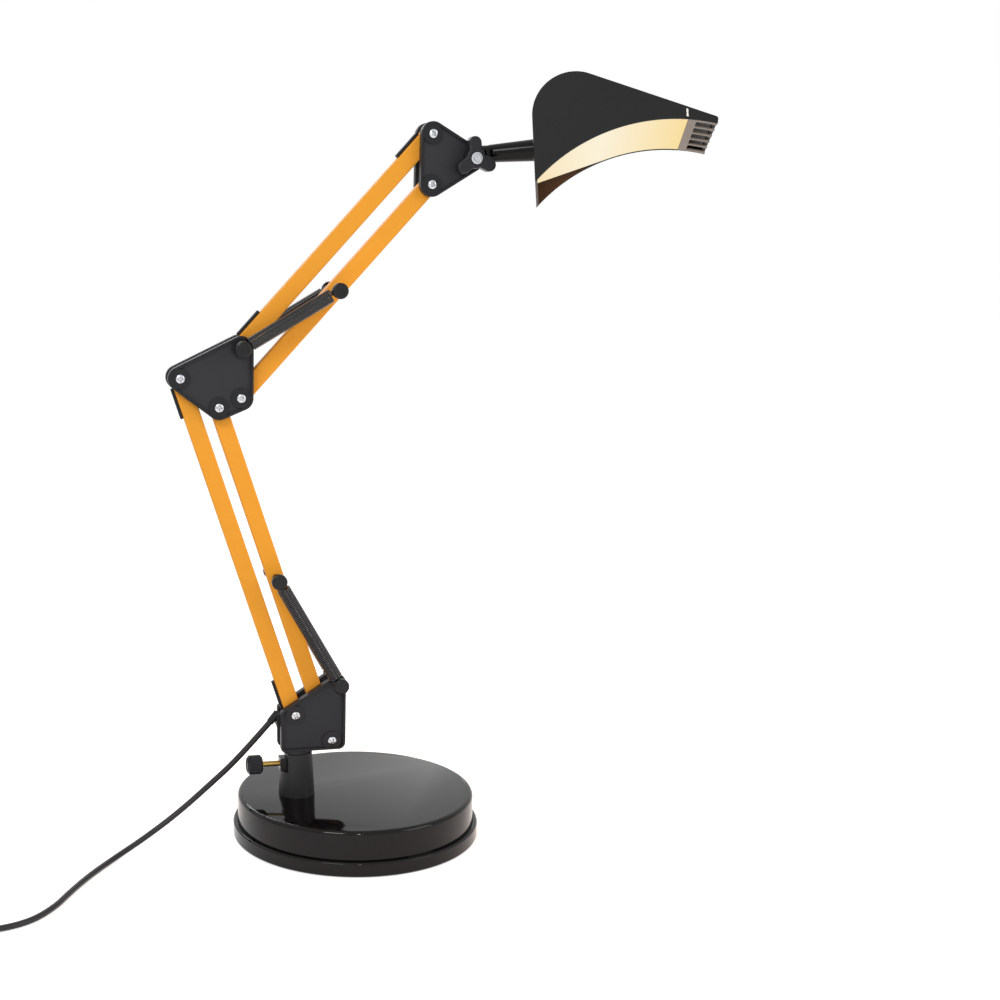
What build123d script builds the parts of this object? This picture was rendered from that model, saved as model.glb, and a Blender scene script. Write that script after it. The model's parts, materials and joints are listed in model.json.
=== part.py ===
"""Articulated desk lamp with a weighted round base, two sprung parallelogram arms and a wedge-shaped hood.

Millimetres. The origin is the middle of the base's underside, +Z is up, and the arms fold in the XZ plane,
with the hood towards +X. "Near" is the -Y side and "far" the +Y side.
"""

import os
from math import cos, dist, pi, radians, sin, sqrt, tan

from build123d import *

# Base
RING_R = 90.0
RING_H = 11.0
RING_LIFT = 0.4
RING_LIP = 3.4
RING_BEVEL = 1.0
COVER_TOP = 32.0
COVER_WALL = 1.2
COVER_EDGE_R = 3.0
PAD_T = 2.0
PAD_INSET = 10.0
BASE_PLATE_T = 1.5
WEIGHT_GAP = 5.4
WEIGHT_T = 18.0
WEIGHT_BEVEL = 1.0
PLATE_SCREW_R = 2.0
PLATE_SCREW_HEAD_R = 3.6
PLATE_SCREW_HEAD_T = 1.4
PLATE_SCREW_L = 12.0
PLATE_SCREW_RING_R = 60.0
PLATE_SCREWS = 3

# Clearances
RUN_FIT = 0.05
SLIP = 0.1
SEAT = 0.2

# Post socket, thumb screw and swivelling post
POST_X = -43.9
SPIGOT_R = 6.0
SOCKET_FOOT_R = 13.2
SOCKET_TOP_R = 11.3
SOCKET_H = 31.7
SOCKET_FLOOR = 4.0
SOCKET_STUD_R = 5.0
NOTCH_AT = 7.6
SOCKET_NUT_AF = 17.0
SOCKET_NUT_T = 4.0
COLLAR_R = 10.2
COLLAR_T = 2.6
CLAMP_H = 23.2
CLAMP_STUD_R = 1.95
CLAMP_NUT_W = 9.4
CLAMP_NUT_T = 5.0
CLAMP_KNOB_R = 7.0
CLAMP_KNOB_L = 11.4
CLAMP_KNOB_AT = 25.4
CLAMP_KNOB_BORE = 6.0
KNURLS = 20
KNURL_R = 0.6

# Side plates of the three brackets
PLATE_GAP = 10.0
PLATE_T = 5.2
PLATE_POCKET = 2.0
PLATE_RIM = 1.8
BOSS_T = 1.2
BOSS_R = 7.0
BOLT_R = 2.5
BOLT_HEAD_R = 3.6
BOLT_HEAD_T = 2.2
CROSS_W = 1.0
CROSS_L = 4.4
CROSS_DEPTH = 1.0
NUT_AF = 8.0
NUT_T = 3.2
TANG_T = 16.4
TANG_W = 18.0

# Arms: pivots are (x, z) in the arm plane
BASE_PIVOT = (-46.0, 93.4)
LOWER_PAIR = (26.6, -20.4)
LOWER_REACH = 256.5
LOWER_LEAN = -18.0
ELBOW_STEP = (15.4, 6.3)
UPPER_PAIR = (0.5, 34.4)
UPPER_REACH = 198.5
UPPER_LEAN = 42.7
BAR_W = 12.0
BAR_T = 8.0
BAR_WALL = 1.2
BAR_EDGE_R = 1.0
BUSH_R = 4.0
BUSH_L = 9.2
TAIL_T = 2.2
TAIL_W = 4.0
TAIL_L = 22.0
TAIL_AT = 16.5

# Springs
SPRING_Y = 15.8
SPRING_R = 4.4
WIRE_R = 0.6
SPRING_TURNS = 24.5
HOOK_GAP = 0.3
HOOK_TIP = 1.2
HOOK_LEG = 3.0
COIL_START = 8.0
SPRING_SKIP_COUNT = 4
BASE_ANCHOR = (-14.5, 116.3)
LOWER_PIN_AT = 127.7
UPPER_PIN_AT = 100.0
CAP_R = 5.6
CAP_T = 3.8
CAP_SEAT = 18.4
CAP_EDGE_R = 1.2

# Base, elbow and head plate outlines
BASE_LEFT = -56.8
BASE_FOOT_R = 3.0
BASE_TOE_R = 5.0
BASE_CREST_R = 5.5
BASE_TOE_X = -9.5
BASE_SHOULDER_R = 2.5
BASE_SHOULDER_Z = 95.0
ELBOW_R = 8.5
HEAD_R = 8.4
NOSE_R = 8.5

# Tilt knob, knuckle and stem
NOSE_STEP = (28.65, 17.57)
TILT_BOLT_R = 3.0
TILT_BOLT_HEAD_R = 4.0
TILT_BOLT_HEAD_T = 1.3
TILT_NUT_AF = 10.0
LOBE_R = 4.5
LOBE_AT = 10.5
LOBE_TURN = 95.0
LOBE_T = 7.5
LOBES = 3
HUB_R = 6.0
HUB_T = 3.6
KNOB_EDGE_R = 1.2
KNOB_CORE_R = 7.0
STEM_RISE = 4.1
BARREL_R = 6.8
BARREL_L = 9.8
PAN_AHEAD = 14.0
PAN_UP = 3.3
TONGUE_T = 5.0
TONGUE_W = 9.2
TONGUE_END_R = 6.2
PAN_PIN_R = 2.0
PAN_PIN_L = 11.0
CHEEK_R = 6.4
YOKE_ROOT_R = 7.2
STEM_REACH = 32.2
STEM_TAIL = 10.0
STEM_THIN_R = 5.5
STEM_THICK_R = 7.6
STEM_SPIGOT_R = 4.9
STEM_NUT_AF = 14.0
STEM_NUT_T = 4.0
HEAD_PAN = 18.8
HEAD_ROLL = 10.9

# Hood: u runs from its rear plate to its tip, h up from the lower rear corner
HOOD_W = 90.0
HOOD_WALL = 1.6
STEM_H = 31.7
HOOD_CROWN_R = 28.0
HOOD_CROWN_H = 44.0
HOOD_SLOPE = 23.4
HOOD_TIP_U = 121.5
HOOD_NOSE_R = 2.0
HOOD_TIP_LOW = (120.8, 29.6)
HOOD_BELLY = (62.0, 33.2)
SEAM_U = 101.0
TRIM_W = 1.2
DIFFUSER_T = 1.6
DIFFUSER_REAR_H = 17.6
DIFFUSER_KNEE_U = 56.0
DIFFUSER_RECESS = 0.5
GRILLE_T = 1.0
GRILLE_NOTCH_H = 31.6
GRILLE_SLOTS = 5
GRILLE_SLOT_W = 12.6
FINGER_END_R = 1.4
GRILLE_PITCH = 16.3
GRILLE_SLOT_U = 107.5
BOARD_T = 1.6
BOARD_H = 42.0
BOARD_U = (8.0, 84.0)
LED_SIZE = 3.0
LED_T = 0.9
LED_COUNTS = (6, 5)
LED_PITCH = (11.5, 15.0)
BUTTON_U = 62.0
BUTTON_R = 5.5
BUTTON_PROUD = 1.8
BUTTON_DEPTH = 4.6
BUTTON_GAP = 0.2
BUTTON_TRAVEL = 1.2
SWITCH_W = 16.0
SWITCH_FLOOR = 2.0

# Cord
CORD_R = 2.1
CORD_GAP = 0.45
RELIEF_ROOT = (-57.5, 93.2)
RELIEF_HEADING = 228.0
RELIEF_L = 9.0
RELIEF_ROOT_R = 3.1
RELIEF_TIP_R = 2.6
RELIEF_BLOCK_X = (-59.0, -54.5)
RELIEF_BLOCK_Z = (84.2, 93.4)
CORD_ROUTE = (
    (-107.0, 0.0, 43.0),
    (-131.0, -1.0, 23.0),
    (-156.0, -6.0, 7.6),
    (-178.0, -25.0, 2.4),
    (-196.0, -51.0, 2.2),
    (-210.0, -76.0, 2.2),
    (-222.0, -101.0, 2.2),
    (-240.0, -121.5, 2.2),
)
CORD_FIRST_RUN = 34.0
CORD_LAST_RUN = 27.0
CORD_ARC_SHARE = 0.45
COIL_START_AT = (-298.0, -129.3)
COIL_INNER_R = 17.0
COIL_PITCH = 4.75
COIL_TURNS_IN = 3.5
COIL_CLIMB = 0.5
COIL_TURNS_OUT = 3.25
COIL_END_RUN = 14.0
COIL_SKIP_COUNT = 5
TIE_T = 0.8
TIE_W = 6.0
TIE_SLACK = 0.3
PLUG_L = 34.0
PLUG_W = 27.0
PLUG_NECK_W = 13.0
PLUG_RELIEF_L = 22.0
PLUG_TIP_R = 2.5
PLUG_RELIEF_R = 4.6
PLUG_PIN_R = 2.0
PLUG_PIN_L = 19.0
PLUG_PIN_SPACING = 18.6
PLUG_EDGE_R = 2.5

# What follows from them
PLATE_IN = PLATE_GAP / 2
PLATE_OUT = PLATE_IN + PLATE_T
POCKET_FLOOR = PLATE_OUT - PLATE_POCKET
BOSS_TOP = POCKET_FLOOR + BOSS_T
COVER_R = RING_R - RING_LIP
LEDGE_Z = PAD_T + BASE_PLATE_T
SOCKET_TOP = COVER_TOP + SOCKET_H
COLLAR_Z = SOCKET_TOP + SLIP
BRACKET_FOOT = COLLAR_Z + COLLAR_T
CLAMP_Z = COVER_TOP + CLAMP_H
HOOK_R = BOLT_R + WIRE_R + HOOK_GAP


def ahead(point, lean, reach):
    """The (x, z) point at reach from a point, along a line that leans from the vertical towards +X."""
    return (point[0] + reach * sin(radians(lean)), point[1] + reach * cos(radians(lean)))


def shifted(point, step):
    return (point[0] + step[0], point[1] + step[1])


S1 = BASE_PIVOT
S2 = shifted(S1, LOWER_PAIR)
E1 = ahead(S1, LOWER_LEAN, LOWER_REACH)
E2 = ahead(S2, LOWER_LEAN, LOWER_REACH)
E3 = shifted(E2, ELBOW_STEP)
K3 = shifted(E3, UPPER_PAIR)
H1 = ahead(K3, UPPER_LEAN, UPPER_REACH)
H2 = ahead(E3, UPPER_LEAN, UPPER_REACH)
TILT_PIVOT = shifted(H2, NOSE_STEP)
K1 = BASE_ANCHOR
K2 = ahead(S2, LOWER_LEAN, LOWER_PIN_AT)
K4 = ahead(E3, UPPER_LEAN, UPPER_PIN_AT)


def side_plane(y):
    """A plane at y, beside the arms, that faces the near side: its own x and y are the lamp's X and Z."""
    return Plane(origin=(0, y, 0), x_dir=(1, 0, 0), z_dir=(0, -1, 0))


def bar_plane(start, lean, y):
    """The same at a bar's first pivot, with x along the bar and y towards its outer edge."""
    heading = (sin(radians(lean)), 0, cos(radians(lean)))
    return Plane(origin=(start[0], y, start[1]), x_dir=heading, z_dir=(0, -1, 0))


def finish(piece, label):
    piece.part.label = label
    export_step(piece.part, f"parts/{label}.step")


def joined(first, second):
    """Two arcs that leave one station and reach the next along their own headings."""
    start, start_dir = Vector(*first[0]), Vector(*first[1]).normalized()
    end, end_dir = Vector(*second[0]), Vector(*second[1]).normalized()
    chord = end - start
    across = chord.dot(start_dir + end_dir)
    bend = 2 * (1 - start_dir.dot(end_dir))
    if bend < 1e-9:
        Line(start, end)
        return
    leg = (-across + sqrt(across**2 + bend * chord.dot(chord))) / bend
    first_knee = start + start_dir * leg
    second_knee = end - end_dir * leg
    middle = (first_knee + second_knee) * 0.5
    TangentArc(start, middle, tangent=start_dir)
    TangentArc(middle, end, tangent=second_knee - first_knee)


def least_gap(edges, wire_r, skip):
    """The least gap of a tube to itself, on points of its path that lie more than skip edges apart."""
    shares = (0.0, 0.25, 0.5, 0.75)
    points = [tuple(edge @ share) for edge in edges for share in shares]
    least = min(
        dist(one, other) for i, one in enumerate(points) for other in points[i + skip * len(shares) :]
    )
    return least - 2 * wire_r


os.makedirs("parts", exist_ok=True)

# Base: pad, bottom plate, ballast, cover and foot ring
with BuildPart() as base_pad:
    with BuildSketch():
        Circle(RING_R - PAD_INSET)
        with PolarLocations(PLATE_SCREW_RING_R, PLATE_SCREWS):
            Circle(PLATE_SCREW_HEAD_R + SEAT, mode=Mode.SUBTRACT)
    extrude(amount=PAD_T)
finish(base_pad, "base_pad")

with BuildPart() as base_plate:
    with BuildSketch(Plane.XY.offset(PAD_T)):
        Circle(COVER_R - COVER_WALL - SEAT)
        with PolarLocations(PLATE_SCREW_RING_R, PLATE_SCREWS):
            Circle(PLATE_SCREW_R + SLIP, mode=Mode.SUBTRACT)
    extrude(amount=BASE_PLATE_T)
finish(base_plate, "base_plate")

with BuildPart() as base_weight:
    with BuildSketch(Plane.XY.offset(LEDGE_Z)):
        Circle(COVER_R - COVER_WALL - WEIGHT_GAP)
        with PolarLocations(PLATE_SCREW_RING_R, PLATE_SCREWS):
            Circle(PLATE_SCREW_R + SLIP, mode=Mode.SUBTRACT)
    extrude(amount=WEIGHT_T)
    top_rims = base_weight.edges().filter_by(GeomType.CIRCLE).group_by(Axis.Z)[-1]
    chamfer(top_rims.sort_by(SortBy.RADIUS)[-1], WEIGHT_BEVEL)
finish(base_weight, "base_weight")

with BuildPart() as base_plate_screws:
    with BuildSketch(Plane.XY.offset(PAD_T - PLATE_SCREW_HEAD_T)):
        with PolarLocations(PLATE_SCREW_RING_R, PLATE_SCREWS):
            Circle(PLATE_SCREW_HEAD_R)
    extrude(amount=PLATE_SCREW_HEAD_T)
    with BuildSketch(Plane.XY.offset(PAD_T)):
        with PolarLocations(PLATE_SCREW_RING_R, PLATE_SCREWS):
            Circle(PLATE_SCREW_R)
    extrude(amount=PLATE_SCREW_L)
finish(base_plate_screws, "base_plate_screws")

with BuildPart() as base_ring:
    with BuildSketch(Plane.XZ):
        Polygon(
            (COVER_R - COVER_WALL, RING_LIFT),
            (RING_R - RING_BEVEL, RING_LIFT),
            (RING_R, RING_LIFT + RING_BEVEL),
            (RING_R, RING_H - RING_BEVEL),
            (RING_R - RING_BEVEL, RING_H),
            (COVER_R + SLIP, RING_H),
            (COVER_R + SLIP, LEDGE_Z),
            (COVER_R - COVER_WALL, LEDGE_Z),
            align=None,
        )
    revolve(axis=Axis.Z)
finish(base_ring, "base_ring")

with BuildPart() as base_cover:
    with BuildSketch(Plane.XY.offset(LEDGE_Z)):
        Circle(COVER_R)
    extrude(amount=COVER_TOP - LEDGE_Z)
    fillet(base_cover.edges().group_by(Axis.Z)[-1], COVER_EDGE_R)
    offset(amount=-COVER_WALL, openings=base_cover.faces().sort_by(Axis.Z)[0])
    with BuildSketch(Plane.XY.offset(COVER_TOP)):
        with Locations((POST_X, 0)):
            Circle(SOCKET_STUD_R + SLIP)
    extrude(amount=-2 * COVER_WALL, mode=Mode.SUBTRACT)
finish(base_cover, "base_cover")

# Socket on the cover, with its thumb screw
post_axis = Axis((POST_X, 0, 0), (0, 0, 1))
stud_foot = COVER_TOP - COVER_WALL - SOCKET_NUT_T - SLIP
notch_floor = CLAMP_Z - CLAMP_NUT_W / 2 - SLIP

with BuildPart() as post_socket:
    with BuildSketch(Plane.XZ):
        with Locations((POST_X, 0)):
            Polygon(
                (0, stud_foot),
                (SOCKET_STUD_R, stud_foot),
                (SOCKET_STUD_R, COVER_TOP),
                (SOCKET_FOOT_R, COVER_TOP),
                (SOCKET_TOP_R, SOCKET_TOP),
                (SPIGOT_R + RUN_FIT, SOCKET_TOP),
                (SPIGOT_R + RUN_FIT, COVER_TOP + SOCKET_FLOOR),
                (0, COVER_TOP + SOCKET_FLOOR),
                align=None,
            )
    revolve(axis=post_axis)
    with BuildSketch(Plane.XY.offset(notch_floor)):
        with Locations((POST_X - NOTCH_AT - SOCKET_FOOT_R, 0)):
            Rectangle(2 * SOCKET_FOOT_R, 2 * SOCKET_FOOT_R)
    extrude(amount=SOCKET_H, mode=Mode.SUBTRACT)
    with BuildSketch(Plane.YZ.offset(POST_X)):
        with Locations((0, CLAMP_Z)):
            Circle(CLAMP_STUD_R + RUN_FIT)
    extrude(amount=-2 * SOCKET_FOOT_R, mode=Mode.SUBTRACT)
finish(post_socket, "post_socket")

with BuildPart() as socket_nut:
    with BuildSketch(Plane.XY.offset(COVER_TOP - COVER_WALL)):
        with Locations((POST_X, 0)):
            RegularPolygon(SOCKET_NUT_AF / 2, 6, major_radius=False)
            Circle(SOCKET_STUD_R + RUN_FIT, mode=Mode.SUBTRACT)
    extrude(amount=-SOCKET_NUT_T)
finish(socket_nut, "socket_nut")

clamp_plane = Plane(origin=(POST_X, 0, CLAMP_Z), x_dir=(0, 1, 0), z_dir=(-1, 0, 0))

with BuildPart() as clamp_nut:
    with BuildSketch(clamp_plane.offset(NOTCH_AT + SLIP)):
        Rectangle(CLAMP_NUT_W, CLAMP_NUT_W)
        Circle(CLAMP_STUD_R + RUN_FIT, mode=Mode.SUBTRACT)
    extrude(amount=CLAMP_NUT_T)
finish(clamp_nut, "clamp_nut")

with BuildPart() as clamp_stud:
    with BuildSketch(clamp_plane.offset(SPIGOT_R + SLIP)):
        Circle(CLAMP_STUD_R)
    extrude(amount=CLAMP_KNOB_AT + CLAMP_KNOB_BORE - SPIGOT_R - SLIP)
finish(clamp_stud, "clamp_stud")

with BuildPart() as clamp_knob:
    with BuildSketch(clamp_plane.offset(CLAMP_KNOB_AT)):
        Circle(CLAMP_KNOB_R)
        with PolarLocations(CLAMP_KNOB_R, KNURLS):
            Circle(KNURL_R, mode=Mode.SUBTRACT)
    extrude(amount=CLAMP_KNOB_L)
    with BuildSketch(clamp_plane.offset(CLAMP_KNOB_AT)):
        Circle(CLAMP_STUD_R + RUN_FIT)
    extrude(amount=CLAMP_KNOB_BORE, mode=Mode.SUBTRACT)
finish(clamp_knob, "clamp_knob")

# Post: spigot in the socket, collar on top of it, and a tang between the base bracket's plates
with BuildPart() as post_spigot:
    with BuildSketch(Plane.XY.offset(COVER_TOP + SOCKET_FLOOR + SLIP)):
        with Locations((POST_X, 0)):
            Circle(SPIGOT_R)
    extrude(amount=COLLAR_Z - COVER_TOP - SOCKET_FLOOR - SLIP)
    with BuildSketch(Plane.XY.offset(COLLAR_Z)):
        with Locations((POST_X, 0)):
            Circle(COLLAR_R)
    extrude(amount=COLLAR_T)
    with BuildSketch(Plane.XY.offset(BRACKET_FOOT)):
        with Locations((POST_X, 0)):
            Rectangle(TANG_W, PLATE_GAP)
    extrude(amount=TANG_T)
finish(post_spigot, "post_spigot")


def outline(corners, inset=0.0):
    """The face inside the taut loop round a set of corner circles, each (point, radius)."""
    with BuildSketch() as face:
        for point, radius in corners:
            with Locations(point):
                Circle(radius - inset)
        make_hull()
    return face.sketch


def bracket_plate(label, side, corners, bosses, bores):
    """One side plate: a flat plate with a raised rim, bosses for the pivots, and bores (point, radius)."""
    with BuildPart() as plate:
        with BuildSketch(side_plane(side * PLATE_IN)):
            add(outline(corners))
        extrude(amount=-side * PLATE_T)
        with BuildSketch(side_plane(side * PLATE_OUT)):
            add(outline(corners, PLATE_RIM))
        extrude(amount=side * PLATE_POCKET, mode=Mode.SUBTRACT)
        with BuildSketch(side_plane(side * POCKET_FLOOR)):
            with Locations(*bosses):
                Circle(BOSS_R)
            add(outline(corners), mode=Mode.INTERSECT)
        extrude(amount=-side * BOSS_T)
        with BuildSketch(side_plane(side * PLATE_OUT)):
            for point, radius in bores:
                with Locations(point):
                    Circle(radius)
        extrude(amount=side * PLATE_T, mode=Mode.SUBTRACT)
    finish(plate, label)
    return plate


def bolts(label, pivots):
    """Cross-headed pivot bolts from the near boss to the far nut."""
    with BuildPart() as bolt:
        with BuildSketch(side_plane(BOSS_TOP + NUT_T)):
            with Locations(*pivots):
                Circle(BOLT_R)
        extrude(amount=2 * BOSS_TOP + NUT_T)
        with BuildSketch(side_plane(-BOSS_TOP)):
            with Locations(*pivots):
                Circle(BOLT_HEAD_R)
        extrude(amount=BOLT_HEAD_T)
        with BuildSketch(side_plane(-BOSS_TOP - BOLT_HEAD_T)):
            with Locations(*pivots):
                Rectangle(CROSS_L, CROSS_W, rotation=45)
                Rectangle(CROSS_L, CROSS_W, rotation=-45)
        extrude(amount=-CROSS_DEPTH, mode=Mode.SUBTRACT)
    finish(bolt, label)


def nuts(label, pivots):
    """Hexagon nuts on the far bosses, each (point, width across flats, bolt radius)."""
    with BuildPart() as nut:
        with BuildSketch(side_plane(BOSS_TOP + NUT_T)):
            for point, across, bolt_r in pivots:
                with Locations(point):
                    RegularPolygon(across / 2, 6, major_radius=False)
                    Circle(bolt_r + RUN_FIT, mode=Mode.SUBTRACT)
        extrude(amount=NUT_T)
    finish(nut, label)


def capped_pin(label, point):
    """A spring pin right through an arm or a bracket, with a round cap at each end."""
    with BuildPart() as pin:
        with BuildSketch(side_plane(CAP_SEAT)):
            with Locations(point):
                Circle(BOLT_R)
        extrude(amount=2 * CAP_SEAT)
        for side in (-1, 1):
            with BuildSketch(side_plane(side * CAP_SEAT)):
                with Locations(point):
                    Circle(CAP_R)
            extrude(amount=-side * CAP_T)
        ends = pin.faces().filter_by(Axis.Y).sort_by(Axis.Y)
        fillet([ends[0].edges()[0], ends[-1].edges()[0]], CAP_EDGE_R)
    finish(pin, label)


base_corners = (
    ((BASE_LEFT + BASE_FOOT_R, BRACKET_FOOT + BASE_FOOT_R), BASE_FOOT_R),
    ((BASE_TOE_X - BASE_TOE_R, BRACKET_FOOT + BASE_TOE_R), BASE_TOE_R),
    (K1, BASE_CREST_R),
    ((BASE_LEFT + BASE_SHOULDER_R, BASE_SHOULDER_Z), BASE_SHOULDER_R),
)
elbow_corners = ((E1, ELBOW_R), (E2, ELBOW_R), (E3, ELBOW_R), (K3, ELBOW_R))
head_corners = ((H1, HEAD_R), (H2, HEAD_R), (TILT_PIVOT, NOSE_R))
bolt_bore = BOLT_R + RUN_FIT
tilt_bore = TILT_BOLT_R + RUN_FIT

for side, name in ((-1, "near"), (1, "far")):
    bracket_plate(
        f"base_bracket_{name}",
        side,
        base_corners,
        (S1, S2),
        ((S1, bolt_bore), (S2, bolt_bore)),
    )
    bracket_plate(
        f"elbow_plate_{name}",
        side,
        elbow_corners,
        (E1, E2, E3, K3),
        ((E1, bolt_bore), (E2, bolt_bore), (E3, bolt_bore), (K3, bolt_bore)),
    )
    bracket_plate(
        f"head_plate_{name}",
        side,
        head_corners,
        (H1, H2, TILT_PIVOT),
        ((H1, bolt_bore), (H2, bolt_bore), (TILT_PIVOT, tilt_bore)),
    )

bolts("base_bolts", (S1, S2))
nuts("base_nuts", ((S1, NUT_AF, BOLT_R), (S2, NUT_AF, BOLT_R)))
bolts("elbow_bolts", (E1, E2, E3))
nuts("elbow_nuts", ((E1, NUT_AF, BOLT_R), (E2, NUT_AF, BOLT_R), (E3, NUT_AF, BOLT_R)))
bolts("head_bolts", (H1, H2))
nuts("head_nuts", ((H1, NUT_AF, BOLT_R), (H2, NUT_AF, BOLT_R), (TILT_PIVOT, TILT_NUT_AF, TILT_BOLT_R)))
capped_pin("lower_spring_pin", K2)
capped_pin("elbow_spring_pin", K3)
capped_pin("upper_spring_pin", K4)

with BuildPart() as base_spring_studs:
    for side in (-1, 1):
        with BuildSketch(side_plane(side * POCKET_FLOOR)):
            with Locations(K1):
                Circle(BOLT_R)
        extrude(amount=-side * (CAP_SEAT - POCKET_FLOOR))
        with BuildSketch(side_plane(side * CAP_SEAT)):
            with Locations(K1):
                Circle(CAP_R)
        extrude(amount=-side * CAP_T)
    stud_ends = base_spring_studs.faces().filter_by(Axis.Y).sort_by(Axis.Y)
    fillet([stud_ends[0].edges()[0], stud_ends[-1].edges()[0]], CAP_EDGE_R)
finish(base_spring_studs, "base_spring_studs")


def bar(label, start, lean, reach, pin_at=None):
    """A flat rectangular tube with a round end and a bush hole at each pivot."""
    with BuildPart() as tube:
        with BuildSketch(bar_plane(start, lean, BAR_T / 2)):
            with Locations((reach / 2, 0)):
                SlotCenterToCenter(reach, BAR_W)
        extrude(amount=BAR_T)
        fillet(tube.faces().filter_by(Axis.Y).edges(), BAR_EDGE_R)
        with BuildSketch(bar_plane(start, lean, BAR_T / 2 - BAR_WALL)):
            with Locations((reach / 2, 0)):
                Rectangle(reach + 2 * BAR_W, BAR_W - 2 * BAR_WALL)
        extrude(amount=BAR_T - 2 * BAR_WALL, mode=Mode.SUBTRACT)
        with BuildSketch(bar_plane(start, lean, BAR_T / 2)):
            with Locations((0, 0), (reach, 0)):
                Circle(BUSH_R + RUN_FIT)
            if pin_at is not None:
                with Locations((pin_at, 0)):
                    Circle(BOLT_R + RUN_FIT)
        extrude(amount=BAR_T, mode=Mode.SUBTRACT)
    finish(tube, label)


def bushes(label, start, lean, reach):
    """The two pivot bushes pressed into a bar."""
    with BuildPart() as bush:
        with BuildSketch(bar_plane(start, lean, BUSH_L / 2)):
            with Locations((0, 0), (reach, 0)):
                Circle(BUSH_R)
                Circle(BOLT_R + RUN_FIT, mode=Mode.SUBTRACT)
        extrude(amount=BUSH_L)
    finish(bush, label)


def lead_tails(label, start, lean, reach):
    """The black tails of the lead where it leaves a rear bar's outer edge, one near each end."""
    with BuildPart() as tail:
        with BuildSketch(bar_plane(start, lean, TAIL_W / 2)):
            with Locations((TAIL_AT, (BAR_W + TAIL_T) / 2), (reach - TAIL_AT, (BAR_W + TAIL_T) / 2)):
                Rectangle(TAIL_L, TAIL_T)
        extrude(amount=TAIL_W)
    finish(tail, label)


bar("lower_rear_bar", S1, LOWER_LEAN, LOWER_REACH)
bar("lower_front_bar", S2, LOWER_LEAN, LOWER_REACH, LOWER_PIN_AT)
bar("upper_rear_bar", K3, UPPER_LEAN, UPPER_REACH)
bar("upper_front_bar", E3, UPPER_LEAN, UPPER_REACH, UPPER_PIN_AT)
bushes("lower_rear_bushes", S1, LOWER_LEAN, LOWER_REACH)
bushes("lower_front_bushes", S2, LOWER_LEAN, LOWER_REACH)
bushes("upper_rear_bushes", K3, UPPER_LEAN, UPPER_REACH)
bushes("upper_front_bushes", E3, UPPER_LEAN, UPPER_REACH)
lead_tails("lower_lead_tails", S1, LOWER_LEAN, LOWER_REACH)
lead_tails("upper_lead_tails", K3, UPPER_LEAN, UPPER_REACH)


def spring_stations(length):
    """Hook, coil and hook along a spring: points and headings in (along, across, outward)."""
    first_half = [
        ((HOOK_TIP, HOOK_R, 0), (-1, 0, 0)),
        ((0, HOOK_R, 0), (-1, 0, 0)),
        ((-HOOK_R, 0, 0), (0, -1, 0)),
        ((0, -HOOK_R, 0), (1, 0, 0)),
        ((HOOK_LEG, -HOOK_R, 0), (1, 0, 0)),
    ]
    second_half = [
        ((length - s, p, -q), (ts, -tp, tq)) for (s, p, q), (ts, tp, tq) in reversed(first_half)
    ]
    pitch = (length - 2 * COIL_START) / SPRING_TURNS
    coil = []
    for half in range(int(2 * SPRING_TURNS) + 1):
        turn = radians(90 + 180 * half)
        along = COIL_START + pitch * half / 2
        coil.append(
            (
                (along, -SPRING_R * cos(turn), SPRING_R * sin(turn)),
                (pitch / (2 * pi), SPRING_R * sin(turn), SPRING_R * cos(turn)),
            )
        )
    return first_half + coil + second_half


def spring(start, end, side):
    """One extension spring from pin to pin, outside the arm on one side."""
    along = Vector(end[0] - start[0], 0, end[1] - start[1])
    length = along.length
    along = along.normalized()
    across = Vector(along.Z, 0, -along.X)
    outward = Vector(0, 1, 0)
    origin = Vector(start[0], side * SPRING_Y, start[1])

    def placed(values):
        return along * values[0] + across * values[1] + outward * values[2]

    stations = [(origin + placed(p), placed(t)) for p, t in spring_stations(length)]
    with BuildPart() as coil:
        with BuildLine() as wire:
            for first, second in zip(stations, stations[1:]):
                joined(first, second)
        with BuildSketch(Plane(origin=wire.line @ 0, z_dir=wire.line % 0)):
            Circle(WIRE_R)
        sweep(path=wire.line)
    print(f"spring on side {side}: least gap {least_gap(wire.edges(), WIRE_R, SPRING_SKIP_COUNT):.2f}")
    return coil.part


with BuildPart() as lower_springs:
    for side in (-1, 1):
        add(spring(K1, K2, side))
finish(lower_springs, "lower_springs")

with BuildPart() as upper_springs:
    for side in (-1, 1):
        add(spring(K3, K4, side))
finish(upper_springs, "upper_springs")

# Tilt knob on its bolt
knob_seat = BOSS_TOP + SLIP
knob_face = knob_seat + HUB_T + LOBE_T

with BuildPart() as tilt_knob:
    with BuildSketch(side_plane(-knob_seat)):
        with Locations(TILT_PIVOT):
            Circle(HUB_R)
    extrude(amount=HUB_T)
    with BuildSketch(side_plane(-knob_seat - HUB_T)):
        with Locations(TILT_PIVOT):
            Circle(KNOB_CORE_R)
            with PolarLocations(LOBE_AT / 2, LOBES, start_angle=LOBE_TURN):
                SlotCenterToCenter(LOBE_AT, 2 * LOBE_R)
    extrude(amount=LOBE_T)
    fillet(tilt_knob.faces().sort_by(Axis.Y)[0].edges(), KNOB_EDGE_R)
    with BuildSketch(side_plane(-knob_seat)):
        with Locations(TILT_PIVOT):
            Circle(tilt_bore)
    extrude(amount=HUB_T + LOBE_T, mode=Mode.SUBTRACT)
finish(tilt_knob, "tilt_knob")

with BuildPart() as tilt_bolt:
    with BuildSketch(side_plane(BOSS_TOP + NUT_T)):
        with Locations(TILT_PIVOT):
            Circle(TILT_BOLT_R)
    extrude(amount=BOSS_TOP + NUT_T + knob_face)
    with BuildSketch(side_plane(-knob_face)):
        with Locations(TILT_PIVOT):
            Circle(TILT_BOLT_HEAD_R)
    extrude(amount=TILT_BOLT_HEAD_T)
finish(tilt_bolt, "tilt_bolt")

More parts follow.
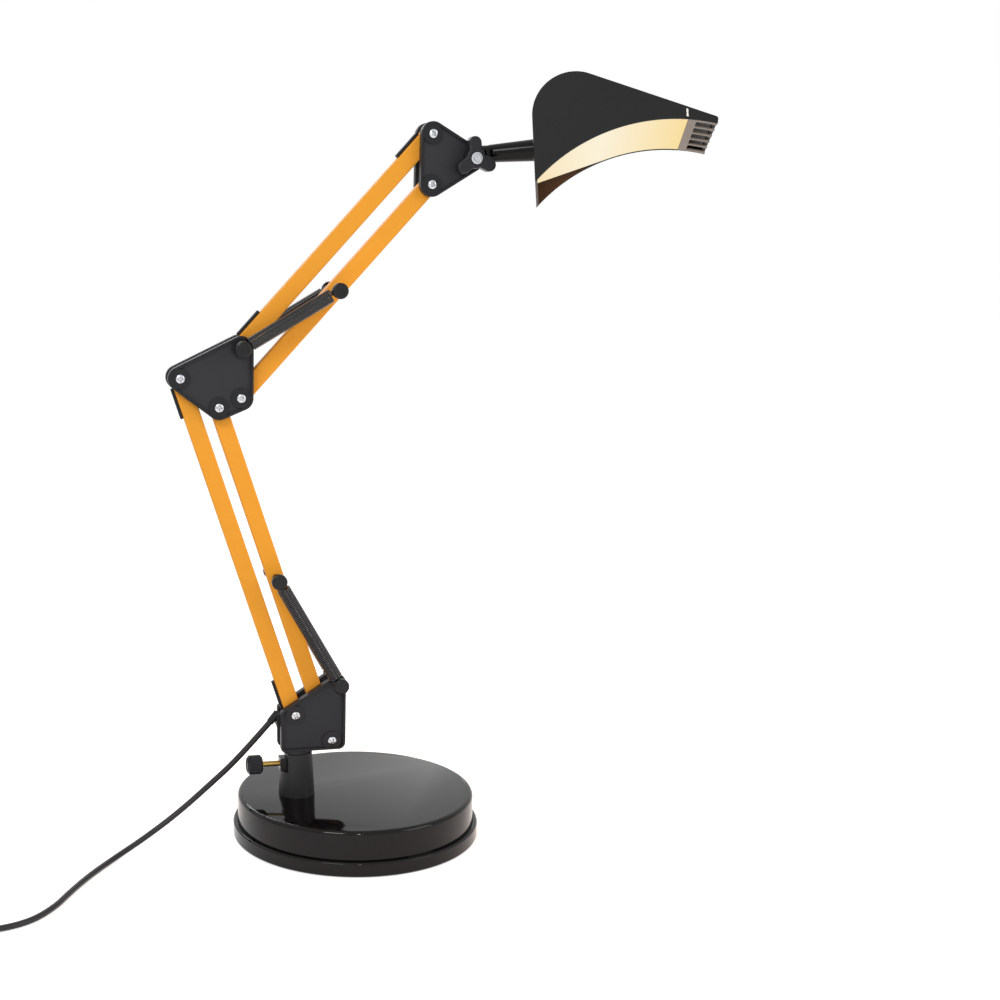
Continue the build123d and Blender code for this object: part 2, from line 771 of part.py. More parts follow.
# Knuckle, pan pin and stem. The knuckle frame has x along the stem's rise, y up and z to the near side.
rise = (cos(radians(STEM_RISE)), 0, sin(radians(STEM_RISE)))
knuckle_frame = Plane(origin=(TILT_PIVOT[0], 0, TILT_PIVOT[1]), x_dir=rise, z_dir=(0, -1, 0))
pan_frame = Plane(knuckle_frame.location * Location((PAN_AHEAD, PAN_UP, 0), (0, -HEAD_PAN, 0)))
hood_frame = Plane(pan_frame.location * Location((STEM_REACH, 0, 0), (-HEAD_ROLL, 0, 0)))
tongue_frame = Plane(knuckle_frame.location * Location((PAN_AHEAD, PAN_UP, 0), (-90, 0, 0)))
yoke_frame = Plane(pan_frame.location * Location((0, 0, 0), (-90, 0, 0)))


def crosswise(frame, distance):
    """A plane square to a frame's x axis."""
    return Plane(frame.location * Location((distance, 0, 0), (0, 90, 0)))


with BuildPart() as knuckle:
    with BuildSketch(knuckle_frame.offset(-BARREL_L / 2)):
        Circle(BARREL_R)
    extrude(amount=BARREL_L)
    with BuildSketch(tongue_frame.offset(-TONGUE_T / 2)):
        Circle(TONGUE_END_R)
        with Locations((-PAN_AHEAD / 2, 0)):
            Rectangle(PAN_AHEAD, TONGUE_W)
    extrude(amount=TONGUE_T)
    with BuildSketch(knuckle_frame.offset(-BARREL_L / 2)):
        Circle(tilt_bore)
    extrude(amount=BARREL_L, mode=Mode.SUBTRACT)
    with BuildSketch(tongue_frame.offset(-TONGUE_T)):
        Circle(PAN_PIN_R + RUN_FIT)
    extrude(amount=2 * TONGUE_T, mode=Mode.SUBTRACT)
finish(knuckle, "knuckle")

with BuildPart() as pan_pin:
    with BuildSketch(yoke_frame.offset(-PAN_PIN_L / 2)):
        Circle(PAN_PIN_R)
    extrude(amount=PAN_PIN_L)
finish(pan_pin, "pan_pin")

with BuildPart() as head_stem:
    with BuildSketch(crosswise(pan_frame, -STEM_TAIL)):
        Circle(STEM_THIN_R)
    with BuildSketch(crosswise(pan_frame, STEM_REACH - SLIP)):
        Circle(STEM_THICK_R)
    loft()
    with BuildSketch(yoke_frame.offset(-2 * STEM_THICK_R)):
        Circle(CHEEK_R)
        with Locations((STEM_REACH, 0)):
            Rectangle(2 * STEM_REACH, 4 * STEM_THICK_R)
    extrude(amount=4 * STEM_THICK_R, mode=Mode.INTERSECT)
    with BuildSketch(yoke_frame.offset(-TONGUE_T / 2 - RUN_FIT)):
        Circle(YOKE_ROOT_R)
        with Locations((-2 * CHEEK_R, 0)):
            Rectangle(4 * CHEEK_R, 4 * STEM_THICK_R)
    extrude(amount=TONGUE_T + 2 * RUN_FIT, mode=Mode.SUBTRACT)
    with BuildSketch(crosswise(pan_frame, STEM_REACH - SLIP)):
        Circle(STEM_SPIGOT_R)
    extrude(amount=SLIP + HOOD_WALL + SLIP + STEM_NUT_T)
    with BuildSketch(yoke_frame.offset(-STEM_THICK_R)):
        Circle(PAN_PIN_R + RUN_FIT)
    extrude(amount=2 * STEM_THICK_R, mode=Mode.SUBTRACT)
finish(head_stem, "head_stem")

with BuildPart() as stem_nut:
    with BuildSketch(crosswise(pan_frame, STEM_REACH + HOOD_WALL + SLIP)):
        RegularPolygon(STEM_NUT_AF / 2, 6, major_radius=False)
        Circle(STEM_SPIGOT_R + RUN_FIT, mode=Mode.SUBTRACT)
    extrude(amount=STEM_NUT_T)
finish(stem_nut, "stem_nut")

# Hood
slope_sin = sin(radians(HOOD_SLOPE))
slope_cos = cos(radians(HOOD_SLOPE))
hollow_end = HOOD_TIP_U - 2 * HOOD_WALL


def hood_point(u, h):
    return (u, h - STEM_H)


def roof_height(u, depth=0.0):
    """Height of the sloping roof at u, or of a surface at some depth under it."""
    crown_r = HOOD_CROWN_R - depth
    knee_u = HOOD_CROWN_R + crown_r * slope_sin
    knee_h = HOOD_CROWN_H + crown_r * slope_cos
    return knee_h - (u - knee_u) * tan(radians(HOOD_SLOPE))


def belly_height(u):
    """Height of the hollowed underside's edge at u, on the circle through its lower rear, belly and tip."""
    belly_half = (HOOD_BELLY[0] ** 2 + HOOD_BELLY[1] ** 2) / 2
    tip_half = (HOOD_TIP_LOW[0] ** 2 + HOOD_TIP_LOW[1] ** 2) / 2
    spread = HOOD_BELLY[0] * HOOD_TIP_LOW[1] - HOOD_TIP_LOW[0] * HOOD_BELLY[1]
    centre_u = (belly_half * HOOD_TIP_LOW[1] - tip_half * HOOD_BELLY[1]) / spread
    centre_h = (HOOD_BELLY[0] * tip_half - HOOD_TIP_LOW[0] * belly_half) / spread
    return centre_h + sqrt(centre_u**2 + centre_h**2 - (u - centre_u) ** 2)


def hood_face(lift=0.0):
    """The hood's side outline: rear edge, round crown, sloping roof, blunt tip and hollowed underside."""
    knee_u = HOOD_CROWN_R * (1 + slope_sin)
    low_rear = hood_point(0, lift)
    low_tip = hood_point(HOOD_TIP_LOW[0], HOOD_TIP_LOW[1] + lift)
    belly = hood_point(HOOD_BELLY[0], HOOD_BELLY[1] + lift)
    crown = hood_point(HOOD_CROWN_R, HOOD_CROWN_H + lift)
    roof_tip = hood_point(HOOD_TIP_U, roof_height(HOOD_TIP_U) + lift)
    with BuildSketch() as face:
        with BuildLine():
            Line(low_rear, hood_point(0, HOOD_CROWN_H + lift))
            CenterArc(crown, HOOD_CROWN_R, 180, -(90 + HOOD_SLOPE))
            Line(hood_point(knee_u, roof_height(knee_u) + lift), roof_tip)
            Line(roof_tip, low_tip)
            ThreePointArc(low_tip, belly, low_rear)
        make_face()
        fillet(face.vertices().sort_by(Axis.X)[-1], HOOD_NOSE_R)
    return face.sketch


def hollow_face(depth):
    """The hood's inside at a wall's depth, carried down past the open underside."""
    crown_r = HOOD_CROWN_R - depth
    knee_u = HOOD_CROWN_R + crown_r * slope_sin
    below = -STEM_H - HOOD_WALL
    hollow_tip = hood_point(hollow_end, roof_height(hollow_end, depth))
    with BuildSketch() as face:
        with BuildLine():
            Line((depth, below), hood_point(depth, HOOD_CROWN_H))
            CenterArc(hood_point(HOOD_CROWN_R, HOOD_CROWN_H), crown_r, 180, -(90 + HOOD_SLOPE))
            Line(hood_point(knee_u, roof_height(knee_u, depth)), hollow_tip)
            Line(hollow_tip, (hollow_end, below))
            Line((hollow_end, below), (depth, below))
        make_face()
    return face.sketch


def hood_slice(first_u, last_u):
    """The hood's shell between two planes square to its length."""
    with BuildPart() as shell:
        with BuildSketch(hood_frame.offset(-HOOD_W / 2)):
            add(hood_face())
            with Locations(((first_u + last_u) / 2, 0)):
                Rectangle(last_u - first_u, 4 * HOOD_CROWN_H, mode=Mode.INTERSECT)
        extrude(amount=HOOD_W)
        with BuildSketch(hood_frame.offset(-HOOD_W / 2 + HOOD_WALL)):
            add(hollow_face(HOOD_WALL))
        extrude(amount=HOOD_W - 2 * HOOD_WALL, mode=Mode.SUBTRACT)
    return shell.part


# The button's frame lies on the roof, with z square to it
button_point = hood_point(BUTTON_U, roof_height(BUTTON_U))
roof_frame = Plane(hood_frame.location * Location((*button_point, 0), (0, 0, -HOOD_SLOPE)))
button_frame = Plane(roof_frame.location * Location((0, 0, 0), (-90, 0, 0)))

with BuildPart() as shade:
    add(hood_slice(0, SEAM_U))
    with BuildSketch(crosswise(hood_frame, 0)):
        Circle(STEM_SPIGOT_R + RUN_FIT)
    extrude(amount=2 * HOOD_WALL, mode=Mode.SUBTRACT)
    with BuildSketch(button_frame):
        Circle(BUTTON_R + BUTTON_GAP)
    extrude(amount=-2 * HOOD_WALL, mode=Mode.SUBTRACT)
finish(shade, "shade")

with BuildPart() as tip_trim:
    add(hood_slice(SEAM_U, SEAM_U + TRIM_W))
finish(tip_trim, "tip_trim")

grille_end = HOOD_TIP_LOW[0] - SLIP
hollow_w = HOOD_W - 2 * HOOD_WALL
slot_middle = (GRILLE_SLOT_U + 2 * HOOD_TIP_U) / 2
slot_length = 2 * HOOD_TIP_U - GRILLE_SLOT_U
slot_spots = [(slot_middle, GRILLE_PITCH * (i - (GRILLE_SLOTS - 1) / 2)) for i in range(GRILLE_SLOTS)]
floor_frame = Plane(hood_frame.location * Location((0, -STEM_H, 0), (-90, 0, 0)))


def is_finger_corner(edge):
    """Whether an edge is an upright corner at a finger's free end, away from the side walls."""
    middle = floor_frame.to_local_coords(edge.center())
    upright = abs((edge % 0.5).dot(floor_frame.z_dir)) > 1 - SLIP
    return upright and middle.X > grille_end - SLIP and abs(middle.Y) < hollow_w / 2 - SLIP


with BuildPart() as tip_cap:
    add(hood_slice(SEAM_U + TRIM_W, 2 * HOOD_TIP_U))
    with BuildSketch(floor_frame):
        with Locations((slot_middle, 0)):
            Rectangle(slot_length, hollow_w)
    extrude(amount=GRILLE_NOTCH_H, mode=Mode.SUBTRACT)
finish(tip_cap, "tip_cap")

with BuildPart() as tip_grille:
    with BuildSketch(hood_frame.offset(-HOOD_W / 2 + HOOD_WALL)):
        add(hood_face())
        add(hood_face(GRILLE_T), mode=Mode.SUBTRACT)
        with Locations(((SEAM_U + TRIM_W + grille_end) / 2, 0)):
            Rectangle(grille_end - SEAM_U - TRIM_W, 4 * HOOD_CROWN_H, mode=Mode.INTERSECT)
    extrude(amount=hollow_w)
    with BuildSketch(floor_frame):
        with Locations(*slot_spots):
            Rectangle(slot_length, GRILLE_SLOT_W)
    extrude(amount=HOOD_CROWN_H, mode=Mode.SUBTRACT)
    fillet(tip_grille.edges().filter_by(is_finger_corner), FINGER_END_R)
finish(tip_grille, "tip_grille")

diffuser_end = SEAM_U + TRIM_W - SLIP
diffuser_arc_us = (DIFFUSER_KNEE_U, (DIFFUSER_KNEE_U + diffuser_end) / 2, diffuser_end)
under_points = [
    hood_point(HOOD_WALL, DIFFUSER_REAR_H),
    *[hood_point(u, belly_height(u) + DIFFUSER_RECESS) for u in diffuser_arc_us],
]
over_points = [(u, h + DIFFUSER_T) for u, h in under_points]

with BuildPart() as diffuser:
    with BuildSketch(hood_frame.offset(-HOOD_W / 2 + HOOD_WALL)):
        with BuildLine():
            Line(under_points[0], under_points[1])
            ThreePointArc(*under_points[1:])
            Line(under_points[-1], over_points[-1])
            ThreePointArc(*reversed(over_points[1:]))
            Line(over_points[1], over_points[0])
            Line(over_points[0], under_points[0])
        make_face()
    extrude(amount=HOOD_W - 2 * HOOD_WALL)
finish(diffuser, "diffuser")

with BuildPart() as led_board:
    with BuildSketch(hood_frame.offset(-HOOD_W / 2 + HOOD_WALL)):
        with Locations(hood_point(sum(BOARD_U) / 2, BOARD_H + BOARD_T / 2)):
            Rectangle(BOARD_U[1] - BOARD_U[0], BOARD_T)
    extrude(amount=HOOD_W - 2 * HOOD_WALL)
    board_under = Plane(
        hood_frame.location * Location((*hood_point(sum(BOARD_U) / 2, BOARD_H), 0), (90, 0, 0))
    )
    with BuildSketch(board_under):
        with GridLocations(*LED_PITCH, *LED_COUNTS):
            Rectangle(LED_SIZE, LED_SIZE)
    extrude(amount=LED_T)
finish(led_board, "led_board")

with BuildPart() as switch_body:
    with BuildSketch(button_frame.offset(-HOOD_WALL)):
        Rectangle(SWITCH_W, SWITCH_W)
    extrude(amount=-(BUTTON_DEPTH + BUTTON_TRAVEL + SWITCH_FLOOR - HOOD_WALL))
    with BuildSketch(button_frame):
        Circle(BUTTON_R + BUTTON_GAP)
    extrude(amount=-(BUTTON_DEPTH + BUTTON_TRAVEL + BUTTON_GAP), mode=Mode.SUBTRACT)
finish(switch_body, "switch_body")

with BuildPart() as power_button:
    with BuildSketch(button_frame.offset(BUTTON_PROUD)):
        Circle(BUTTON_R)
    extrude(amount=-(BUTTON_PROUD + BUTTON_DEPTH))
    fillet(power_button.edges().filter_by(GeomType.CIRCLE).sort_by(Axis.Z)[-1], BUTTON_PROUD / 3)
finish(power_button, "power_button")

# Cord: strain relief, run, coil, tie and plug
relief_dir = Vector(cos(radians(RELIEF_HEADING)), 0, sin(radians(RELIEF_HEADING)))
relief_root = Vector(RELIEF_ROOT[0], 0, RELIEF_ROOT[1])
relief_tip = relief_root + relief_dir * RELIEF_L

with BuildPart() as cord_relief:
    with BuildSketch(Plane(origin=relief_root, z_dir=relief_dir)):
        Circle(RELIEF_ROOT_R)
    with BuildSketch(Plane(origin=relief_tip, z_dir=relief_dir)):
        Circle(RELIEF_TIP_R)
    loft()
    with BuildSketch(side_plane(PLATE_IN)):
        with Locations((sum(RELIEF_BLOCK_X) / 2, sum(RELIEF_BLOCK_Z) / 2)):
            Rectangle(RELIEF_BLOCK_X[1] - RELIEF_BLOCK_X[0], RELIEF_BLOCK_Z[1] - RELIEF_BLOCK_Z[0])
    extrude(amount=PLATE_GAP)
finish(cord_relief, "cord_relief")

coil_low = TIE_T + CORD_R + RUN_FIT
coil_high = coil_low + 2 * CORD_R + CORD_GAP
coil_reverse = COIL_TURNS_IN + COIL_CLIMB / 2
coil_outer = COIL_INNER_R + COIL_PITCH * coil_reverse
coil_centre = (COIL_START_AT[0], COIL_START_AT[1] + coil_outer)


def coil_point(turn):
    """A point of the coil: it spirals in, climbs a layer in half a turn, and spirals out again."""
    radius = COIL_INNER_R + COIL_PITCH * abs(turn - coil_reverse)
    climb = min(max((turn - COIL_TURNS_IN) / COIL_CLIMB, 0), 1)
    height = coil_low + (coil_high - coil_low) * climb**2 * (3 - 2 * climb)
    angle = radians(-90 - 360 * turn)
    return Vector(coil_centre[0] + radius * cos(angle), coil_centre[1] + radius * sin(angle), height)


def coil_heading(turn):
    step = 1e-4
    return (coil_point(turn + step) - coil_point(turn - step)).normalized()


coil_turns = COIL_TURNS_IN + COIL_CLIMB + COIL_TURNS_OUT
coil_stations = [(coil_point(q / 4), coil_heading(q / 4)) for q in range(int(4 * coil_turns) + 1)]
coil_exit = coil_stations[-1][0]
exit_dir = coil_stations[-1][1]
plug_start = coil_exit + exit_dir * COIL_END_RUN

with BuildPart() as cord_coil:
    with BuildLine() as coil_path:
        for first, second in zip(coil_stations, coil_stations[1:]):
            joined(first, second)
        Line(coil_exit, plug_start)
    with BuildSketch(Plane(origin=coil_path.line @ 0, z_dir=coil_path.line % 0)):
        Circle(CORD_R)
    sweep(path=coil_path.line)
finish(cord_coil, "cord_coil")
coil_gap = least_gap(coil_path.edges(), CORD_R, COIL_SKIP_COUNT)
print(f"coil: length {coil_path.wire().length:.0f}, least gap {coil_gap:.2f}")

coil_start, start_dir = coil_stations[0]
route = [
    relief_tip,
    relief_tip + relief_dir * CORD_FIRST_RUN,
    *[Vector(*point) for point in CORD_ROUTE],
    coil_start - start_dir * CORD_LAST_RUN,
    coil_start,
]
radii = []
for before, here, after in zip(route, route[1:], route[2:]):
    turn = (here - before).get_angle(after - here)
    shorter = min((here - before).length, (after - here).length)
    radii.append(CORD_ARC_SHARE * shorter / tan(radians(turn) / 2))
print("cord runs", [round((b - a).length, 1) for a, b in zip(route, route[1:])])
print("cord radii", [round(r) for r in radii])

with BuildPart() as cord_run:
    with BuildLine() as run_path:
        FilletPolyline(*route, radius=radii)
    with BuildSketch(Plane(origin=run_path.line @ 0, z_dir=run_path.line % 0)):
        Circle(CORD_R)
    sweep(path=run_path.line)
finish(cord_run, "cord_run")
run_length = run_path.wire().length
volume_share = cord_run.part.volume / (pi * CORD_R**2 * run_length)
print(f"cord run: length {run_length:.0f}, volume share {volume_share:.4f}")

tie_in = COIL_INNER_R - CORD_R - TIE_SLACK
tie_out = coil_outer + CORD_R + TIE_SLACK
tie_top = coil_high + CORD_R + TIE_SLACK

with BuildPart() as cord_tie:
    with BuildSketch(Plane.YZ.offset(coil_centre[0] - TIE_W / 2)):
        with Locations((coil_centre[1] + (tie_in + tie_out) / 2, (tie_top + TIE_T) / 2)):
            RectangleRounded(tie_out - tie_in + 2 * TIE_T, tie_top + TIE_T, 2 * TIE_T)
        with Locations((coil_centre[1] + (tie_in + tie_out) / 2, (TIE_T + tie_top) / 2)):
            RectangleRounded(tie_out - tie_in, tie_top - TIE_T, TIE_T, mode=Mode.SUBTRACT)
    extrude(amount=TIE_W)
finish(cord_tie, "cord_tie")

plug_dir = Vector(exit_dir.X, exit_dir.Y, 0).normalized()
plug_frame = Plane(origin=plug_start, x_dir=plug_dir, z_dir=(0, 0, 1))

with BuildPart() as plug_body:
    with BuildSketch(crosswise(plug_frame, 0)):
        Circle(PLUG_TIP_R)
    with BuildSketch(crosswise(plug_frame, PLUG_RELIEF_L)):
        Circle(PLUG_RELIEF_R)
    loft()
    with BuildSketch(plug_frame.offset(-coil_high)):
        Polygon(
            (PLUG_RELIEF_L, -PLUG_NECK_W / 2),
            (PLUG_RELIEF_L + PLUG_L / 2, -PLUG_W / 2),
            (PLUG_RELIEF_L + PLUG_L, -PLUG_W / 2),
            (PLUG_RELIEF_L + PLUG_L, PLUG_W / 2),
            (PLUG_RELIEF_L + PLUG_L / 2, PLUG_W / 2),
            (PLUG_RELIEF_L, PLUG_NECK_W / 2),
            align=None,
        )
    extrude(amount=2 * coil_high)
    fillet(plug_body.edges().filter_by(Axis.Z), PLUG_EDGE_R)
finish(plug_body, "plug_body")

with BuildPart() as plug_pins:
    with BuildSketch(crosswise(plug_frame, PLUG_RELIEF_L + PLUG_L)):
        with Locations((0, -PLUG_PIN_SPACING / 2), (0, PLUG_PIN_SPACING / 2)):
            Circle(PLUG_PIN_R)
    extrude(amount=PLUG_PIN_L)
finish(plug_pins, "plug_pins")
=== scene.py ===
"""Looks for an articulated desk lamp on a weighted round base.

The lamp's solids are loaded as a fixed frame. Their visible ones are redrawn with rounded edges. The wound,
knurled and screwed pieces are made finer, and every surface gets its finish.
"""

import json
import math

import bmesh
import bpy
from bpy.props import FloatProperty, FloatVectorProperty, IntProperty, PointerProperty
from bpy.types import Operator, Panel, PropertyGroup
from mathutils import Matrix, Vector


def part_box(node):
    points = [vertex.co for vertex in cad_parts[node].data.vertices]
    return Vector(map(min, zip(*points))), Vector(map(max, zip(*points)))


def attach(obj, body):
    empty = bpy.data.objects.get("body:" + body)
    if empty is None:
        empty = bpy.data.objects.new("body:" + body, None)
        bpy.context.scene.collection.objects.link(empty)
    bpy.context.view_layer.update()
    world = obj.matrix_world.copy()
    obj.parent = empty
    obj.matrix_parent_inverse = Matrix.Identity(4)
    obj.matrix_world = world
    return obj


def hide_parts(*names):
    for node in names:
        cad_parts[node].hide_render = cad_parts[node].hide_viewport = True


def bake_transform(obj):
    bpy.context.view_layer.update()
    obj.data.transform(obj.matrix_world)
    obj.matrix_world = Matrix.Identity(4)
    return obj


bl_info = {
    "name": "Sprung-arm desk lamp",
    "version": (1, 0, 0),
    "blender": (4, 5, 0),
    "location": "View3D > Sidebar > Lamp",
    "description": "Dresses the solids of an articulated desk lamp and stands it on a white sweep",
    "category": "Add Mesh",
}

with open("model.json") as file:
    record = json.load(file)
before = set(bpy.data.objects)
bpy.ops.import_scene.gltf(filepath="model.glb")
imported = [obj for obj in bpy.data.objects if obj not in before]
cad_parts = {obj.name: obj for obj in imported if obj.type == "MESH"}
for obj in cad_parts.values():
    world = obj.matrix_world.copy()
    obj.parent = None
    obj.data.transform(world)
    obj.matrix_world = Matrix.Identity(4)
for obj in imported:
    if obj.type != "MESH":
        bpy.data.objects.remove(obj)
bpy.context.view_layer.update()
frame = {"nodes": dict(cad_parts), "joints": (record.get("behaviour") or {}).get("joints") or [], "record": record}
NODES = frame["nodes"]
BODY_NODES = frame["record"]["behaviour"]["bodies"]
NODE_BODY = {node: body for body, nodes in BODY_NODES.items() for node in nodes}
NODE_SLOT = {part["node"]: part["material_slot"] for part in frame["record"]["subparts"]}
JOINTS = {joint["name"]: joint for joint in frame["joints"]}
MM = 0.001
# Points closer than this are one, in metres
WELD = 1e-6
WHITE = (1.0, 1.0, 1.0, 1.0)
BLACK = (0.0, 0.0, 0.0, 1.0)


def pivot(joint):
    return Vector(JOINTS[joint]["pos_m"])


def middle(node):
    low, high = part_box(node)
    return (low + high) / 2


def linear(code):
    """An sRGB hex colour as linear red, green, blue and alpha."""
    shares = [int(code[i : i + 2], 16) / 255 for i in (0, 2, 4)]
    return tuple(c / 12.92 if c <= 0.04045 else ((c + 0.055) / 1.055) ** 2.4 for c in shares) + (1.0,)


# Pivots of the two parallelograms, from the joints
LOWER_REAR = pivot("lower_rear_pivot")
LOWER_FRONT = pivot("lower_arm")
ELBOW_FRONT = pivot("elbow_level")
ELBOW_REAR = LOWER_REAR + ELBOW_FRONT - LOWER_FRONT
UPPER_FRONT = pivot("upper_arm")
UPPER_REAR = pivot("upper_rear_pivot")
HEAD_FRONT = pivot("head_level")
HEAD_REAR = UPPER_REAR + HEAD_FRONT - UPPER_FRONT
HOOD_ORIGIN = pivot("head_roll")
HOOD_ALONG = Vector(JOINTS["head_roll"]["axis"]).normalized()
HOOD_DOWN = Vector(JOINTS["button_press"]["axis"]).normalized()

# Where finishes change, in millimetres: the diffuser's length, and the pocket floor and rim of the brackets,
# measured across the lamp from its middle
DIFFUSER_REACH = 102.0
POCKET_FLOOR = 8.4
POCKET_RIM = 8.9
# Where the foil dash begins and ends, as shares of the seam strip's drop
DASH_SHARES = (0.2, 0.78)
# How many features of a pattern lie in a metre: tones drift over some 36 mm, clouds in the nylon are 25 mm
# across, the opal's grain is 0.8 mm and the paper's fibres are 3 mm
DRIFT_SCALE = 28.0
CLOUD_SCALE = 40.0
OPAL_SCALE = 1200.0
FIBRE_SCALE = 300.0

# The cord's route in millimetres, from the strain relief's tip to the coil
CORD_ROUTE = (
    (-63.52, 0.0, 86.51),
    (-86.27, 0.0, 61.25),
    (-107.0, 0.0, 43.0),
    (-131.0, -1.0, 23.0),
    (-156.0, -6.0, 7.6),
    (-178.0, -25.0, 2.4),
    (-196.0, -51.0, 2.2),
    (-210.0, -76.0, 2.2),
    (-222.0, -101.0, 2.2),
    (-240.0, -121.5, 2.2),
    (-271.0, -130.3, 2.95),
)
COIL_CENTRE = (-298.0, -94.49)
COIL_INNER_R = 17.0
COIL_PITCH = 4.75
COIL_TURNS_IN = 3.5
COIL_CLIMB = 0.5
COIL_TURNS_OUT = 3.25
COIL_LOW = 2.95
COIL_HIGH = 7.6
COIL_END_RUN = 14.0
COIL_STEPS = 16

# What the lengths and the colours in the panel have in common
LENGTH = {"unit": "LENGTH", "precision": 5}
COLOUR = {"subtype": "COLOR", "size": 4}

# A material for each slot, once the finishes are made
SLOT_MATERIALS = {}


class LampSizes(PropertyGroup):
    """Sizes of the pieces that are finer than the solids."""

    cord_diameter: FloatProperty(
        name="Cord", description="Outside diameter of the mains cord", default=4.2 * MM, **LENGTH
    )
    wire_diameter: FloatProperty(
        name="Spring wire", description="Diameter of the spring wire", default=1.15 * MM, **LENGTH
    )
    spring_radius: FloatProperty(
        name="Spring radius", description="Mean radius of the spring coils", default=4.4 * MM, **LENGTH
    )
    spring_pitch: FloatProperty(
        name="Spring pitch", description="Rise of a spring in one turn", default=1.3 * MM, **LENGTH
    )
    hook_radius: FloatProperty(
        name="Spring hook", description="Mean radius of the hooks on the pins", default=3.4 * MM, **LENGTH
    )
    screw_radius: FloatProperty(
        name="Screw head", description="Radius of the pan heads at the pivots", default=3.3 * MM, **LENGTH
    )
    knurls: IntProperty(
        name="Knurls", description="Ridges round the thumb screw's knob", default=30, min=8, max=80
    )
    edge_radius: FloatProperty(
        name="Edge", description="Rounding of moulded and pressed edges", default=0.35 * MM, **LENGTH
    )


class LampColours(PropertyGroup):
    """Colours a user would change."""

    arm: FloatVectorProperty(
        name="Arms", description="Paint on the flat bars", default=linear("E2982B"), **COLOUR
    )
    enamel: FloatVectorProperty(
        name="Base", description="Enamel on the base cover", default=linear("0B0A0B"), **COLOUR
    )
    bracket: FloatVectorProperty(
        name="Brackets", description="Nylon of the brackets", default=linear("26262A"), **COLOUR
    )
    hood: FloatVectorProperty(
        name="Hood", description="Plastic of the hood", default=linear("161617"), **COLOUR
    )
    light: FloatVectorProperty(
        name="Light", description="Colour of the lit diffuser", default=linear("FEF4DB"), **COLOUR
    )
    grille: FloatVectorProperty(
        name="Grille", description="Plastic of the slotted tip", default=linear("877C72"), **COLOUR
    )


def add_node(tree, kind, settings=None, links=None):
    """Adds a node with its settings, and gives each named input a value or another node's output."""
    node = tree.nodes.new(kind)
    for key, value in (settings or {}).items():
        setattr(node, key, value)
    for key, value in (links or {}).items():
        if isinstance(value, bpy.types.NodeSocket):
            tree.links.new(value, node.inputs[key])
        else:
            node.inputs[key].default_value = value
    return node


def blank_material(name):
    """An empty material, its tree, and the place on the object that its patterns follow."""
    material = bpy.data.materials.get(name) or bpy.data.materials.new(name)
    material.use_nodes = True
    tree = material.node_tree
    tree.nodes.clear()
    place = add_node(tree, "ShaderNodeTexCoord").outputs["Object"]
    return material, tree, place


def toned(material, colour, tone, relief, surface):
    """The material, ended with its colour under a tone, a relief, and the rest of its surface.

    The relief is a height, its depth in millimetres and its strength.
    """
    tree = material.node_tree
    tinted = add_node(
        tree, "ShaderNodeVectorMath", {"operation": "SCALE"}, {0: tuple(colour[:3]), "Scale": tone}
    )
    height, depth, strength = relief
    bumps = add_node(
        tree, "ShaderNodeBump", links={"Height": height, "Distance": depth * MM, "Strength": strength}
    )
    inputs = {"Base Color": tinted.outputs["Vector"], "Normal": bumps.outputs["Normal"], **surface}
    shader = add_node(tree, "ShaderNodeBsdfPrincipled", links=inputs)
    add_node(tree, "ShaderNodeOutputMaterial", links={"Surface": shader.outputs["BSDF"]})
    return material


def grained(name, colour, roughness, grain, depth, spread=0.12, metallic=0.0, specular=0.25):
    """A finish with a grain of that size and depth in millimetres, and a slow drift of tone and gloss."""
    material, tree, place = blank_material(name)
    fine = add_node(
        tree,
        "ShaderNodeTexNoise",
        links={"Vector": place, "Scale": 1000 / grain, "Detail": 3.0, "Roughness": 0.6},
    )
    slow = add_node(
        tree,
        "ShaderNodeTexNoise",
        links={"Vector": place, "Scale": DRIFT_SCALE, "Detail": 4.0, "Roughness": 0.65},
    )
    drift = slow.outputs["Fac"]
    tone = add_node(
        tree, "ShaderNodeMapRange", links={"Value": drift, "To Min": 1 - spread, "To Max": 1 + spread}
    )
    gloss = add_node(
        tree,
        "ShaderNodeMapRange",
        links={
            "Value": drift,
            "From Min": 0.3,
            "From Max": 0.7,
            "To Min": roughness * (1 - spread),
            "To Max": roughness * (1 + spread),
        },
    )
    return toned(
        material,
        colour,
        tone.outputs["Result"],
        (fine.outputs["Fac"], depth, 0.6),
        {
            "Roughness": gloss.outputs["Result"],
            "Metallic": metallic,
            "Specular IOR Level": specular,
            "IOR": 1.5,
        },
    )


